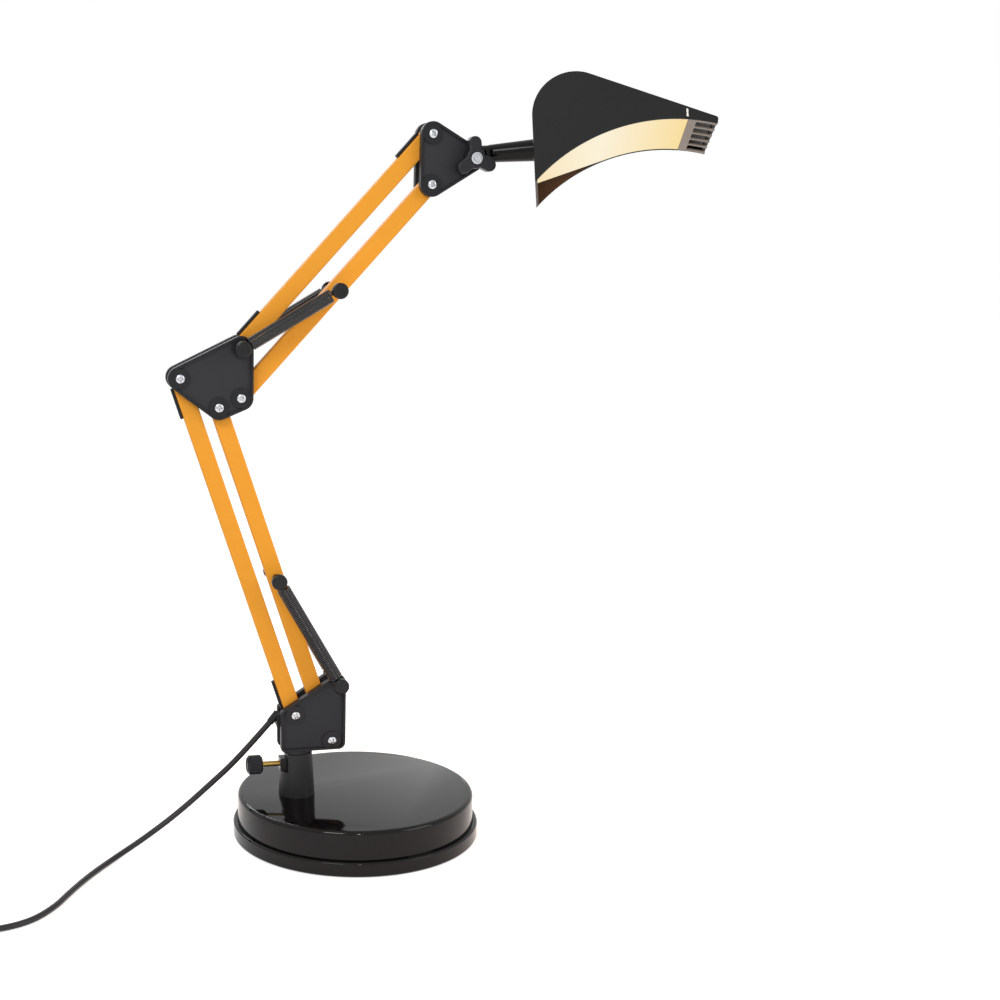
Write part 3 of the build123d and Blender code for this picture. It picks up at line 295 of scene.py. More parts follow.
def lit_diffuser(colour):
    """Opal acrylic with the lamps on behind it: brightest in the middle, warmer towards both ends."""
    material, tree, place = blank_material("opal_acrylic_lit")
    along = add_node(
        tree, "ShaderNodeVectorMath", {"operation": "DOT_PRODUCT"}, {0: place, 1: tuple(HOOD_ALONG)}
    )
    rear = HOOD_ORIGIN.dot(HOOD_ALONG)
    share = add_node(
        tree,
        "ShaderNodeMapRange",
        links={"Value": along.outputs["Value"], "From Min": rear, "From Max": rear + DIFFUSER_REACH * MM},
    )
    ramp = add_node(tree, "ShaderNodeValToRGB", links={"Fac": share.outputs["Result"]})
    stops = ramp.color_ramp.elements
    stops[0].color = linear("FCE6B8")
    stops[1].color = linear("FBE0A0")
    stops.new(0.22).color = linear("FDEFCF")
    stops.new(0.45).color = tuple(colour)
    grain = add_node(tree, "ShaderNodeTexNoise", links={"Vector": place, "Scale": OPAL_SCALE, "Detail": 2.0})
    relief = add_node(
        tree,
        "ShaderNodeBump",
        links={"Height": grain.outputs["Fac"], "Distance": 0.02 * MM, "Strength": 0.4},
    )
    shader = add_node(
        tree,
        "ShaderNodeBsdfPrincipled",
        links={
            "Base Color": linear("262420"),
            "Roughness": 0.8,
            "IOR": 1.49,
            "Specular IOR Level": 0.02,
            "Emission Color": ramp.outputs["Color"],
            "Emission Strength": 0.95,
            "Normal": relief.outputs["Normal"],
        },
    )
    add_node(tree, "ShaderNodeOutputMaterial", links={"Surface": shader.outputs["BSDF"]})
    return material


def moulded_bracket(colour):
    """Glass-filled nylon: a gritty spark-eroded pocket floor, and smoother, darker rims and bosses."""
    material, tree, place = blank_material("moulded_nylon_black")
    across = add_node(tree, "ShaderNodeSeparateXYZ", links={"Vector": place})
    depth = add_node(tree, "ShaderNodeMath", {"operation": "ABSOLUTE"}, {0: across.outputs["Y"]})
    pocket = {
        "Value": depth.outputs["Value"],
        "From Min": POCKET_FLOOR * MM,
        "From Max": POCKET_RIM * MM,
    }
    tone = add_node(tree, "ShaderNodeMapRange", links={**pocket, "To Min": 1.0, "To Max": 0.5})
    gloss = add_node(tree, "ShaderNodeMapRange", links={**pocket, "To Min": 0.5, "To Max": 0.3})
    grit_share = add_node(tree, "ShaderNodeMapRange", links={**pocket, "To Min": 0.8, "To Max": 0.2})
    # The grit is about 0.1 mm on the real moulding, and is drawn at 0.7 mm to show
    grit = add_node(tree, "ShaderNodeTexNoise", links={"Vector": place, "Scale": 1000 / 0.7, "Detail": 3.0})
    drift = add_node(
        tree, "ShaderNodeTexNoise", links={"Vector": place, "Scale": CLOUD_SCALE, "Detail": 4.0}
    )
    cloud = add_node(
        tree, "ShaderNodeMapRange", links={"Value": drift.outputs["Fac"], "To Min": 0.88, "To Max": 1.12}
    )
    share = add_node(
        tree,
        "ShaderNodeMath",
        {"operation": "MULTIPLY"},
        {0: tone.outputs["Result"], 1: cloud.outputs["Result"]},
    )
    return toned(
        material,
        colour,
        share.outputs["Value"],
        (grit.outputs["Fac"], 0.05, grit_share.outputs["Result"]),
        {"Roughness": gloss.outputs["Result"], "Specular IOR Level": 0.25},
    )


def brushed(name, colour, roughness, stretch, coarse):
    """A turned or drawn metal: fine lines across the piece, as coarse as the picture needs to show them."""
    material, tree, place = blank_material(name)
    lined = add_node(tree, "ShaderNodeMapping", links={"Vector": place, "Scale": stretch})
    scratches = add_node(
        tree,
        "ShaderNodeTexNoise",
        links={"Vector": lined.outputs["Vector"], "Scale": 1000 / coarse, "Detail": 4.0},
    )
    lines = scratches.outputs["Fac"]
    gloss = add_node(
        tree,
        "ShaderNodeMapRange",
        links={"Value": lines, "To Min": roughness * 0.7, "To Max": roughness * 1.3},
    )
    tone = add_node(tree, "ShaderNodeMapRange", links={"Value": lines, "To Min": 0.85, "To Max": 1.1})
    return toned(
        material,
        colour,
        tone.outputs["Result"],
        (lines, 0.01, 0.3),
        {"Metallic": 1.0, "Roughness": gloss.outputs["Result"]},
    )


def foil_dash(colour):
    """Seam strip in the hood's paint, with a short dash of polished nickel foil on each side wall."""
    material, tree, place = blank_material("nickel_foil_dash")
    drops = [HOOD_DOWN.dot(vert.co) for vert in NODES["tip_trim"].data.vertices]
    drop = add_node(
        tree, "ShaderNodeVectorMath", {"operation": "DOT_PRODUCT"}, {0: place, 1: tuple(HOOD_DOWN)}
    )
    share = add_node(
        tree,
        "ShaderNodeMapRange",
        links={"Value": drop.outputs["Value"], "From Min": min(drops), "From Max": max(drops)},
    )
    tone = add_node(tree, "ShaderNodeValToRGB", links={"Fac": share.outputs["Result"]})
    shine = add_node(tree, "ShaderNodeValToRGB", links={"Fac": share.outputs["Result"]})
    start, end = DASH_SHARES
    for ramp, plain, dash in ((tone, tuple(colour), linear("C9C6C0")), (shine, BLACK, WHITE)):
        ramp.color_ramp.interpolation = "CONSTANT"
        first, last = ramp.color_ramp.elements
        first.color = plain
        last.color = plain
        last.position = end
        ramp.color_ramp.elements.new(start).color = dash
    shader = add_node(
        tree,
        "ShaderNodeBsdfPrincipled",
        links={
            "Base Color": tone.outputs["Color"],
            "Metallic": shine.outputs["Color"],
            "Roughness": 0.35,
            "Specular IOR Level": 0.16,
        },
    )
    add_node(tree, "ShaderNodeOutputMaterial", links={"Surface": shader.outputs["BSDF"]})
    return material


def finishes(colours):
    """A material for each slot of the record, and one more for the post, named for the real ones."""
    return {
        # Stove enamel on pressed steel: a deep gloss that mirrors the room, with a faint orange peel
        "base_paint": grained("stove_enamel_black", colours.enamel, 0.07, 3.0, 0.003, 0.1, specular=0.21),
        # Moulded nylon, on the post only: satin black beside the enamel
        "post_satin": grained("satin_nylon_black", linear("1B1B1D"), 0.42, 0.9, 0.015, 0.08, specular=0.3),
        # Sand-cast iron: dull and pitted
        "ballast": grained("cast_iron", linear("5A5A58"), 0.75, 1.2, 0.15, metallic=0.6),
        # Rolled steel sheet: a soft sheen with faint roll lines
        "plate_steel": brushed("rolled_steel", linear("A9ABAF"), 0.4, (1.0, 12.0, 1.0), 3.0),
        # Die-cut rubber: no sheen
        "pad": grained("cut_rubber", linear("1C1C1D"), 0.85, 0.8, 0.06, specular=0.3),
        "bracket": moulded_bracket(colours.bracket),
        # Bright zinc plate on steel: pale and bluish, with turning marks
        "fastener": brushed("bright_zinc", linear("C4C6CA"), 0.24, (1.0, 1.0, 6.0), 1.2),
        # Powder coat on steel bar: satin amber with a very fine peel
        "arm_paint": grained("powder_coat_amber", colours.arm, 0.45, 0.9, 0.012, 0.05, specular=0.2),
        # Natural acetal: milky and smooth
        "bush": grained("acetal_natural", linear("D8D4CA"), 0.4, 1.0, 0.01, 0.04),
        # PVC sheath: soft low sheen
        "lead": grained("pvc_sheath", linear("121214"), 0.5, 1.0, 0.02),
        # Oil-blackened spring wire: dark, with glints along the turns
        "spring_paint": grained(
            "blackened_spring_wire", linear("0E0E10"), 0.16, 0.8, 0.006, 0.2, specular=0.7
        ),
        # Black acetal caps: smooth with a soft gloss
        "pin_paint": grained("acetal_black", linear("161618"), 0.28, 1.2, 0.008, 0.08),
        # Drawn brass rod, a little tarnished
        "brass": brushed("drawn_brass", linear("A98B4B"), 0.33, (1.0, 8.0, 8.0), 2.0),
        # Phenolic knob: black with a soft polish
        "knob": grained("phenolic_black", linear("202024"), 0.32, 1.0, 0.01, 0.1),
        # High-gloss ABS: wet-looking black
        "stem": grained("gloss_abs_black", linear("0A0A0B"), 0.1, 3.0, 0.003, 0.1, specular=0.16),
        # Sprayed matte ABS: a velvet black with a tiny grit
        "hood": grained("matte_abs_black", colours.hood, 0.5, 0.6, 0.02, 0.07, specular=0.16),
        "diffuser": lit_diffuser(colours.light),
        # White solder mask
        "board": grained("solder_mask_white", linear("E9E8E2"), 0.4, 1.0, 0.01, 0.03),
        "trim": foil_dash(colours.hood),
        # Moulded ABS in warm grey: matte with a fine grain
        "grille": grained("moulded_abs_grey", colours.grille, 0.55, 0.6, 0.02, 0.06),
        # Round PVC cord: satin black
        "cord": grained("pvc_cord_black", linear("18181A"), 0.4, 1.0, 0.015, 0.1, specular=0.35),
        # Moulded PVC: a duller black than the cord's
        "plug": grained("moulded_pvc_black", linear("161618"), 0.45, 0.8, 0.02, 0.1),
        # Nickel-plated brass pins
        "plug_pin": brushed("nickel_plate", linear("C9C3B4"), 0.3, (1.0, 6.0, 1.0), 1.5),
    }


def new_piece(name, mesh, body, slot, *nodes):
    """A finished piece at the origin, riding on a body, in place of the solids that it stands for."""
    piece = bpy.data.objects.new(name, mesh)
    bpy.context.scene.collection.objects.link(piece)
    mesh.materials.clear()
    mesh.materials.append(SLOT_MATERIALS[slot])
    if body:
        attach(piece, body)
    if nodes:
        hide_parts(*nodes)
    return piece


def plain_mesh(holder):
    """The mesh that an object's modifiers or bevel make of it."""
    bpy.context.view_layer.update()
    return bpy.data.meshes.new_from_object(holder.evaluated_get(bpy.context.evaluated_depsgraph_get()))


def new_tree(name, sizes=(), counts=()):
    """An empty geometry tree with named inputs for sizes, counts and a finish, and its two end nodes."""
    sockets = {
        "Geometry": "NodeSocketGeometry",
        **dict.fromkeys(sizes, "NodeSocketFloat"),
        **dict.fromkeys(counts, "NodeSocketInt"),
        "Finish": "NodeSocketMaterial",
    }
    tree = bpy.data.node_groups.new(name, "GeometryNodeTree")
    for socket, kind in sockets.items():
        tree.interface.new_socket(socket, in_out="INPUT", socket_type=kind)
    tree.interface.new_socket("Geometry", in_out="OUTPUT", socket_type="NodeSocketGeometry")
    return tree, add_node(tree, "NodeGroupInput"), add_node(tree, "NodeGroupOutput")


def grown(tree, source, values):
    """The plain mesh that a tree makes from a source mesh and the values of its named inputs."""
    holder = bpy.data.objects.new("holder", source)
    bpy.context.scene.collection.objects.link(holder)
    modifier = holder.modifiers.new("Nodes", "NODES")
    modifier.node_group = tree
    for item in tree.interface.items_tree:
        if item.in_out == "INPUT" and item.name in values:
            modifier[item.identifier] = values[item.name]
    mesh = plain_mesh(holder)
    bpy.data.objects.remove(holder)
    return mesh


def ended(tree, copies, finish, result):
    """The tree, ended with its copies made real, coated and led to its output."""
    real = add_node(tree, "GeometryNodeRealizeInstances", links={"Geometry": copies})
    coated = add_node(
        tree, "GeometryNodeSetMaterial", links={"Geometry": real.outputs["Geometry"], "Material": finish}
    )
    tree.links.new(coated.outputs["Geometry"], result.inputs["Geometry"])
    return tree


def point_mesh(points, edges=()):
    mesh = bpy.data.meshes.new("points")
    mesh.from_pydata([tuple(p) for p in points], list(edges), [])
    return mesh


def mesh_of(shape, name):
    """The mesh of an edited shape, which is freed."""
    mesh = bpy.data.meshes.new(name)
    shape.to_mesh(mesh)
    shape.free()
    return mesh


def turned(profile, steps):
    """A closed mesh turned about Z from (radius, height) points that begin and end on the axis."""
    shape = bmesh.new()
    verts = [shape.verts.new((radius, 0, height)) for radius, height in profile]
    edges = [shape.edges.new(pair) for pair in zip(verts, verts[1:])]
    bmesh.ops.spin(
        shape,
        geom=verts + edges,
        cent=(0, 0, 0),
        axis=(0, 0, 1),
        angle=math.tau,
        steps=steps,
        use_duplicate=False,
    )
    bmesh.ops.remove_doubles(shape, verts=shape.verts, dist=WELD)
    bmesh.ops.recalc_face_normals(shape, faces=shape.faces)
    return mesh_of(shape, "turned")


def smoothed(mesh, angle=35.0):
    mesh.shade_smooth()
    mesh.set_sharp_from_angle(angle=math.radians(angle))
    return mesh


class LAMP_OT_stage(Operator):
    """Camera, floor and soft light"""

    bl_idname = "lamp.stage"
    bl_label = "Stage"

    # The camera's place in millimetres, and how far it looks down and to the right in degrees
    camera_place = (-227.58, -1057.85, 425.83)
    camera_down = 9.4795
    camera_right = 11.2213
    # Half the floor's width, in metres
    floor_reach = 6.0
    # The hood's glow: its width and its drop below the diffuser, in millimetres
    glow_width = 40.0
    glow_drop = 4.0
    # Where each lamp is and where it points, in metres, then its width in metres and its power in watts
    lamps = {
        "key": ((-0.9, -1.3, 1.5), (0.0, 0.0, 0.25), 0.6, 13.0),
        "fill": ((1.3, -1.0, 0.9), (0.05, 0.0, 0.3), 0.8, 7.0),
        "back": ((-0.5, 1.4, 1.3), (0.0, 0.0, 0.3), 0.8, 8.0),
        "flash": ((-0.16, -1.1, 0.62), (0.0, 0.0, 0.2), 0.06, 1.2),
    }

    def execute(self, context):
        scene = context.scene
        scene.view_settings.view_transform = "Standard"
        camera = bpy.data.objects.new("camera", bpy.data.cameras.new("camera"))
        scene.collection.objects.link(camera)
        camera.data.sensor_width = 36.0
        camera.data.lens = 55.139
        camera.data.shift_x = 0.1684
        camera.data.shift_y = 0.0037
        camera.location = [place * MM for place in self.camera_place]
        camera.rotation_euler = (math.radians(90 - self.camera_down), 0.0, math.radians(-self.camera_right))
        scene.camera = camera

        floor = bpy.data.objects.new("floor", bpy.data.meshes.new("floor"))
        scene.collection.objects.link(floor)
        reach = self.floor_reach
        corners = [(-reach, -reach, 0), (reach, -reach, 0), (reach, reach, 0), (-reach, reach, 0)]
        floor.data.from_pydata(corners, [], [(0, 1, 2, 3)])
        floor.data.materials.append(self.sweep_paper())

        scene.world = bpy.data.worlds.new("studio")
        scene.world.use_nodes = True
        tree = scene.world.node_tree
        tree.nodes.clear()
        seen = self.seen_ray(tree)
        strength = add_node(tree, "ShaderNodeMapRange", links={"Value": seen, "To Min": 0.55, "To Max": 1.0})
        sky = add_node(
            tree, "ShaderNodeBackground", links={"Color": WHITE, "Strength": strength.outputs["Result"]}
        )
        add_node(tree, "ShaderNodeOutputWorld", links={"Surface": sky.outputs["Background"]})

        for name, (spot, aim, size, watts) in self.lamps.items():
            lamp = bpy.data.objects.new(name, bpy.data.lights.new(name, "AREA"))
            scene.collection.objects.link(lamp)
            lamp.data.size = size
            lamp.data.energy = watts
            lamp.location = spot
            lamp.rotation_euler = (Vector(aim) - Vector(spot)).to_track_quat("-Z", "Y").to_euler()
        self.hood_glow(scene)
        return {"FINISHED"}

    def hood_glow(self, scene):
        """The light that the diffuser throws on the inside of the hood. It turns with the head."""
        glow = bpy.data.objects.new("hood_glow", bpy.data.lights.new("hood_glow", "AREA"))
        scene.collection.objects.link(glow)
        glow.data.size = self.glow_width * MM
        glow.data.energy = 0.8
        glow.data.color = linear("FF9A30")[:3]
        glow.location = middle("diffuser") + HOOD_DOWN * self.glow_drop * MM
        glow.rotation_euler = HOOD_DOWN.to_track_quat("-Z", "Y").to_euler()
        glow.visible_camera = False
        glow.visible_glossy = False
        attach(glow, "head")

    def seen_ray(self, tree):
        """1 for rays that the picture, a mirror or clear plastic shows, and 0 for those that only light."""
        path = add_node(tree, "ShaderNodeLightPath").outputs
        seen = path["Is Camera Ray"]
        for ray in ("Is Glossy Ray", "Is Transmission Ray"):
            either = add_node(tree, "ShaderNodeMath", {"operation": "MAXIMUM"}, {0: seen, 1: path[ray]})
            seen = either.outputs["Value"]
        return seen

    def sweep_paper(self):
        """White paper sweep: matte, with a faint fibre mottle, and lifted to white where it is unshaded."""
        material, tree, place = blank_material("white_paper_sweep")
        fibre = add_node(
            tree, "ShaderNodeTexNoise", links={"Vector": place, "Scale": FIBRE_SCALE, "Detail": 3.0}
        )
        tone = add_node(
            tree, "ShaderNodeMapRange", links={"Value": fibre.outputs["Fac"], "To Min": 0.88, "To Max": 0.92}
        )
        paper = add_node(tree, "ShaderNodeBsdfDiffuse", links={"Color": tone.outputs["Result"]})
        seen = self.seen_ray(tree)
        lift = add_node(tree, "ShaderNodeMapRange", links={"Value": seen, "To Min": 0.0, "To Max": 0.53})
        glow = add_node(
            tree, "ShaderNodeEmission", links={"Color": WHITE, "Strength": lift.outputs["Result"]}
        )
        both = add_node(
            tree, "ShaderNodeAddShader", links={0: paper.outputs["BSDF"], 1: glow.outputs["Emission"]}
        )
        add_node(tree, "ShaderNodeOutputMaterial", links={"Surface": both.outputs["Shader"]})
        return material


class LAMP_OT_finishes(Operator):
    """A finish for every slot, on every solid"""

    bl_idname = "lamp.finishes"
    bl_label = "Finishes"

    def execute(self, context):
        SLOT_MATERIALS.update(finishes(context.scene.lamp_colours))
        for node, solid in NODES.items():
            solid.data.materials.clear()
            solid.data.materials.append(SLOT_MATERIALS[NODE_SLOT[node]])
        return {"FINISHED"}


class LAMP_OT_cord(Operator):
    """Mains cord with its put-away coil"""

    bl_idname = "lamp.cord"
    bl_label = "Cord"

    # The point of the route from which the cord lies still when the post swivels
    still_point = 4

    def coil_points(self):
        """The coil spirals in, climbs a layer in half a turn, and spirals out again."""
        turns = COIL_TURNS_IN + COIL_CLIMB + COIL_TURNS_OUT
        reverse = COIL_TURNS_IN + COIL_CLIMB / 2
        points = []
        for step in range(int(COIL_STEPS * turns) + 1):
            turn = step / COIL_STEPS
            radius = COIL_INNER_R + COIL_PITCH * abs(turn - reverse)
            climb = min(max((turn - COIL_TURNS_IN) / COIL_CLIMB, 0), 1)
            height = COIL_LOW + (COIL_HIGH - COIL_LOW) * climb**2 * (3 - 2 * climb)
            angle = math.radians(-90 - 360 * turn)
            x = COIL_CENTRE[0] + radius * math.cos(angle)
            y = COIL_CENTRE[1] + radius * math.sin(angle)
            points.append(Vector((x, y, height)))
        heading = (points[-1] - points[-2]).normalized()
        return points + [points[-1] + heading * COIL_END_RUN]

    def execute(self, context):
        route = [Vector(point) * MM for point in (*CORD_ROUTE, *self.coil_points())]
        line = bpy.data.curves.new("cord_line", "CURVE")
        line.dimensions = "3D"
        line.resolution_u = 6
        spline = line.splines.new("NURBS")
        spline.points.add(len(route) - 1)
        for control, point in zip(spline.points, route):
            control.co = (*point, 1.0)
        spline.order_u = 3
        spline.use_endpoint_u = True
        holder = bpy.data.objects.new("cord_line", line)
        context.scene.collection.objects.link(holder)
        path = [vert.co.copy() for vert in plain_mesh(holder).vertices]
        line.bevel_depth = context.scene.lamp_sizes.cord_diameter / 2
        line.bevel_resolution = 3
        line.use_fill_caps = True
        tube = plain_mesh(holder)
        bpy.data.objects.remove(holder)
        cord = new_piece("mains_cord", smoothed(tube, 60), None, "cord", "cord_run", "cord_coil")
        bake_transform(cord)
        return {"FINISHED"}


class LAMP_OT_springs(Operator):
    """Paired extension springs beside each arm"""

    bl_idname = "lamp.springs"
    bl_label = "Springs"

    coil_start = 6.4 * MM
    side_offset = 15.8 * MM
    # A hook's free tip and the foot of its leg over the pin, and how strongly the leg sets out and turns in
    tip_height = 1.2 * MM
    leg_height = 1.5 * MM
    leg_rise = 6.0 * MM
    leg_swing = 9.0 * MM
    leg_steps = 8
    # Shares of a spring's length where it is cut into separate pieces
    cuts = (0.0, 0.06, 0.25, 1.0)

    def spring_tree(self):
        """A coil between two hooks, swept with the wire and set on both sides of the arm."""
        tree, given, result = new_tree(
            "extension_springs", sizes=("Turns", "Radius", "Length", "Start", "Wire", "Offset")
        )
        size = given.outputs
        coil = add_node(
            tree,
            "GeometryNodeCurveSpiral",
            links={
                "Resolution": 20,
                "Rotations": size["Turns"],
                "Start Radius": size["Radius"],
                "End Radius": size["Radius"],
                "Height": size["Length"],
                "Reverse": True,
            },
        )
        lift = add_node(tree, "ShaderNodeCombineXYZ", links={"Z": size["Start"]})
        placed = add_node(
            tree,
            "GeometryNodeTransform",
            links={
                "Geometry": coil.outputs["Curve"],
                "Translation": lift.outputs["Vector"],
                "Rotation": (0.0, 0.0, math.pi / 2),
            },
        )
        hooks = add_node(tree, "GeometryNodeMeshToCurve", links={"Mesh": size["Geometry"]})
        wire_line = add_node(tree, "GeometryNodeJoinGeometry")
        tree.links.new(placed.outputs["Geometry"], wire_line.inputs["Geometry"])
        tree.links.new(hooks.outputs["Curve"], wire_line.inputs["Geometry"])
        section = add_node(
            tree, "GeometryNodeCurvePrimitiveCircle", links={"Resolution": 10, "Radius": size["Wire"]}
        )
        wound = add_node(
            tree,
            "GeometryNodeCurveToMesh",
            links={
                "Curve": wire_line.outputs["Geometry"],
                "Profile Curve": section.outputs["Curve"],
                "Fill Caps": True,
            },
        )
        far = add_node(tree, "ShaderNodeCombineXYZ", links={"Y": size["Offset"]}).outputs["Vector"]
        near = add_node(tree, "ShaderNodeVectorMath", {"operation": "SCALE"}, {0: far, "Scale": -1.0})
        gap = add_node(tree, "ShaderNodeVectorMath", {"operation": "SCALE"}, {0: far, "Scale": 2.0})
        sides = add_node(
            tree,
            "GeometryNodeMeshLine",
            links={"Count": 2, "Start Location": near.outputs["Vector"], "Offset": gap.outputs["Vector"]},
        )
        pair = add_node(
            tree,
            "GeometryNodeInstanceOnPoints",
            links={"Points": sides.outputs["Mesh"], "Instance": wound.outputs["Mesh"]},
        )
        return ended(tree, pair.outputs["Instances"], size["Finish"], result)

    def hook_lines(self, length, sizes):
        """Both hooks as lines: half round the pin, then up to the end of the coil."""
        radius = sizes.hook_radius
        angles = [math.radians(degrees) for degrees in range(0, 181, 15)]
        loop = [Vector((radius * math.cos(angle), 0, -radius * math.sin(angle))) for angle in angles]
        tip = [Vector((radius, 0, self.tip_height))]
        coil_end = Vector((0, sizes.spring_radius, self.coil_start))
        leg = Vector((-radius, 0, self.leg_height))
        rise = Vector((0, 0, self.leg_rise))
        swing = Vector((self.leg_swing, 0, 0))
        leg_up = []
        for step in range(self.leg_steps + 1):
            t = step / self.leg_steps
            leg_up.append(
                leg * (2 * t**3 - 3 * t**2 + 1)
                + rise * (t**3 - 2 * t**2 + t)
                + coil_end * (3 * t**2 - 2 * t**3)
                + swing * (t**3 - t**2)
            )
        first = tip + loop + leg_up
        second = [Vector((p.x, -p.y, length - p.z)) for p in reversed(first)]
        count = len(first)
        edges = [(i, i + 1) for i in range(2 * count - 1) if i != count - 1]
        return point_mesh(first + second, edges)

    def turn_level(self, share, ratio):
        """Where on a smooth step a point on the spring is, to turn as a straight line between the pins does.

        The ratio is the upper pin's distance from the arm's pivot over the lower pin's.
        """
        turn = ratio * share / (1 + (ratio - 1) * share)
        return 0.5 - math.sin(math.asin(1 - 2 * turn) / 3)

    def cut_length(self, mesh, low, high):
        """The part of a spring between two heights."""
        shape = bmesh.new()
        shape.from_mesh(mesh)
        for height, over in ((low, False), (high, True)):
            bmesh.ops.bisect_plane(
                shape,
                geom=shape.verts[:] + shape.edges[:] + shape.faces[:],
                plane_co=(0, 0, height),
                plane_no=(0, 0, 1),
                clear_inner=not over,
                clear_outer=over,
            )
        return mesh_of(shape, "spring_length")

    def execute(self, context):
        sizes = context.scene.lamp_sizes
        tree = self.spring_tree()
        for name, node, joint, *pins in (
            ("lower_spring_pair", "lower_springs", "lower_arm", "base_spring_studs", "lower_spring_pin"),
            ("upper_spring_pair", "upper_springs", "upper_arm", "elbow_spring_pin", "upper_spring_pin"),
        ):
            start, end = (Vector((middle(pin).x, 0, middle(pin).z)) for pin in pins)
            along = (end - start).normalized()
            length = (end - start).length
            coil_length = length - 2 * self.coil_start
            turns = math.floor(coil_length / sizes.spring_pitch) + 0.5
            mesh = grown(
                tree,
                self.hook_lines(length, sizes),
                {
                    "Turns": turns,
                    "Radius": sizes.spring_radius,
                    "Length": coil_length,
                    "Start": self.coil_start,
                    "Wire": sizes.wire_diameter / 2,
                    "Offset": self.side_offset,
                    "Finish": SLOT_MATERIALS["spring_paint"],
                },
            )
            across = Vector((along.z, 0, -along.x))
            frame_of = Matrix((across, Vector((0, 1, 0)), along)).transposed().to_4x4()
            # The outer heights are past the hooks
            heights = (-length, *(cut * length for cut in self.cuts[1:-1]), 2 * length)
            for i in range(len(self.cuts) - 1):
                part = self.cut_length(mesh, heights[i], heights[i + 1])
                part.transform(Matrix.Translation(start) @ frame_of)
                piece = new_piece(f"{name}_{i + 1}", smoothed(part, 60), None, "spring_paint", node)
                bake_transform(piece)
        return {"FINISHED"}


class LAMP_OT_screws(Operator):
    """Cross-headed pivot screws"""

    bl_idname = "lamp.screws"
    bl_label = "Pivot screws"

    boss_top = 9.4 * MM
    head_height = 2.2 * MM
    shank_radius = 2.5 * MM
    shank_length = 22.0 * MM
    first_seed = 3

    def screw_mesh(self, sizes):
        """A pan head with a tapered cross recess, on a plain shank. Its head points along +Z."""
        r = sizes.screw_radius
        h = self.head_height
        profile = [
            (0, -self.shank_length),
            (self.shank_radius, -self.shank_length),
            (self.shank_radius, 0),
            (r, 0),
            (r, 0.45 * h),
            (0.94 * r, 0.7 * h),
            (0.78 * r, 0.9 * h),
            (0.5 * r, 0.98 * h),
            (0, h),
        ]
        body = bpy.data.objects.new("screw_body", turned(profile, 36))
        cross = bpy.data.objects.new("cross_punch", self.cross_mesh(r, h))
        for part in (body, cross):
            bpy.context.scene.collection.objects.link(part)
        cut = body.modifiers.new("Recess", "BOOLEAN")
        cut.operation = "DIFFERENCE"
        cut.solver = "EXACT"
        cut.object = cross
        mesh = plain_mesh(body)
        for part in (body, cross):
            bpy.data.objects.remove(part)
        if not mesh.polygons:
            raise RuntimeError("the cross recess left no screw")
        return smoothed(mesh, 40)

    def cross_mesh(self, r, h):
        """The punch: one closed cross that narrows towards the recess's floor."""
        shape = bmesh.new()
        rings = []
        for reach, half, height in ((0.35 * r, 0.1 * r, 0.35 * h), (0.66 * r, 0.18 * r, 1.2 * h)):
            arm = ((reach, -half), (reach, half), (half, half))
            quarters = ((1, 0), (0, 1), (-1, 0), (0, -1))
            corners = [(x * c - y * s, x * s + y * c) for c, s in quarters for x, y in arm]
            rings.append([shape.verts.new((x, y, height)) for x, y in corners])
        floor, top = rings
        shape.faces.new(floor)
        shape.faces.new(top)
        for i in range(len(floor)):
            j = (i + 1) % len(floor)
            shape.faces.new((floor[i], floor[j], top[j], top[i]))
        bmesh.ops.recalc_face_normals(shape, faces=shape.faces)
        return mesh_of(shape, "cross_punch")

    def screw_tree(self, template):
        """One screw at each pivot, its head to the near side and its cross at a chance angle."""
        tree, given, result = new_tree("pivot_screws", counts=("Seed",))
        screw = add_node(tree, "GeometryNodeObjectInfo", links={"Object": template})
        quarter = math.pi / 2
        angle = add_node(
            tree,
            "FunctionNodeRandomValue",
            {"data_type": "FLOAT_VECTOR"},
            {"Min": (quarter, 0.0, 0.0), "Max": (quarter, quarter, 0.0), "Seed": given.outputs["Seed"]},
        )
        screws = add_node(
            tree,
            "GeometryNodeInstanceOnPoints",
            links={
                "Points": given.outputs["Geometry"],
                "Instance": screw.outputs["Geometry"],
                "Rotation": angle.outputs["Value"],
            },
        )
        return ended(tree, screws.outputs["Instances"], given.outputs["Finish"], result)

    def execute(self, context):
        template = bpy.data.objects.new("screw_template", self.screw_mesh(context.scene.lamp_sizes))
        context.scene.collection.objects.link(template)
        tree = self.screw_tree(template)
        brackets = (
            ("base_pivot_screws", "base_bolts", (LOWER_REAR, LOWER_FRONT)),
            ("elbow_pivot_screws", "elbow_bolts", (ELBOW_REAR, ELBOW_FRONT, UPPER_FRONT)),
            ("head_pivot_screws", "head_bolts", (HEAD_REAR, HEAD_FRONT)),
        )
        for seed, (name, node, pivots) in enumerate(brackets, self.first_seed):
            points = point_mesh([(p.x, -self.boss_top, p.z) for p in pivots])
            mesh = grown(tree, points, {"Seed": seed, "Finish": SLOT_MATERIALS["fastener"]})
            new_piece(name, mesh, NODE_BODY[node], "fastener", node)
        bpy.data.objects.remove(template)
        return {"FINISHED"}


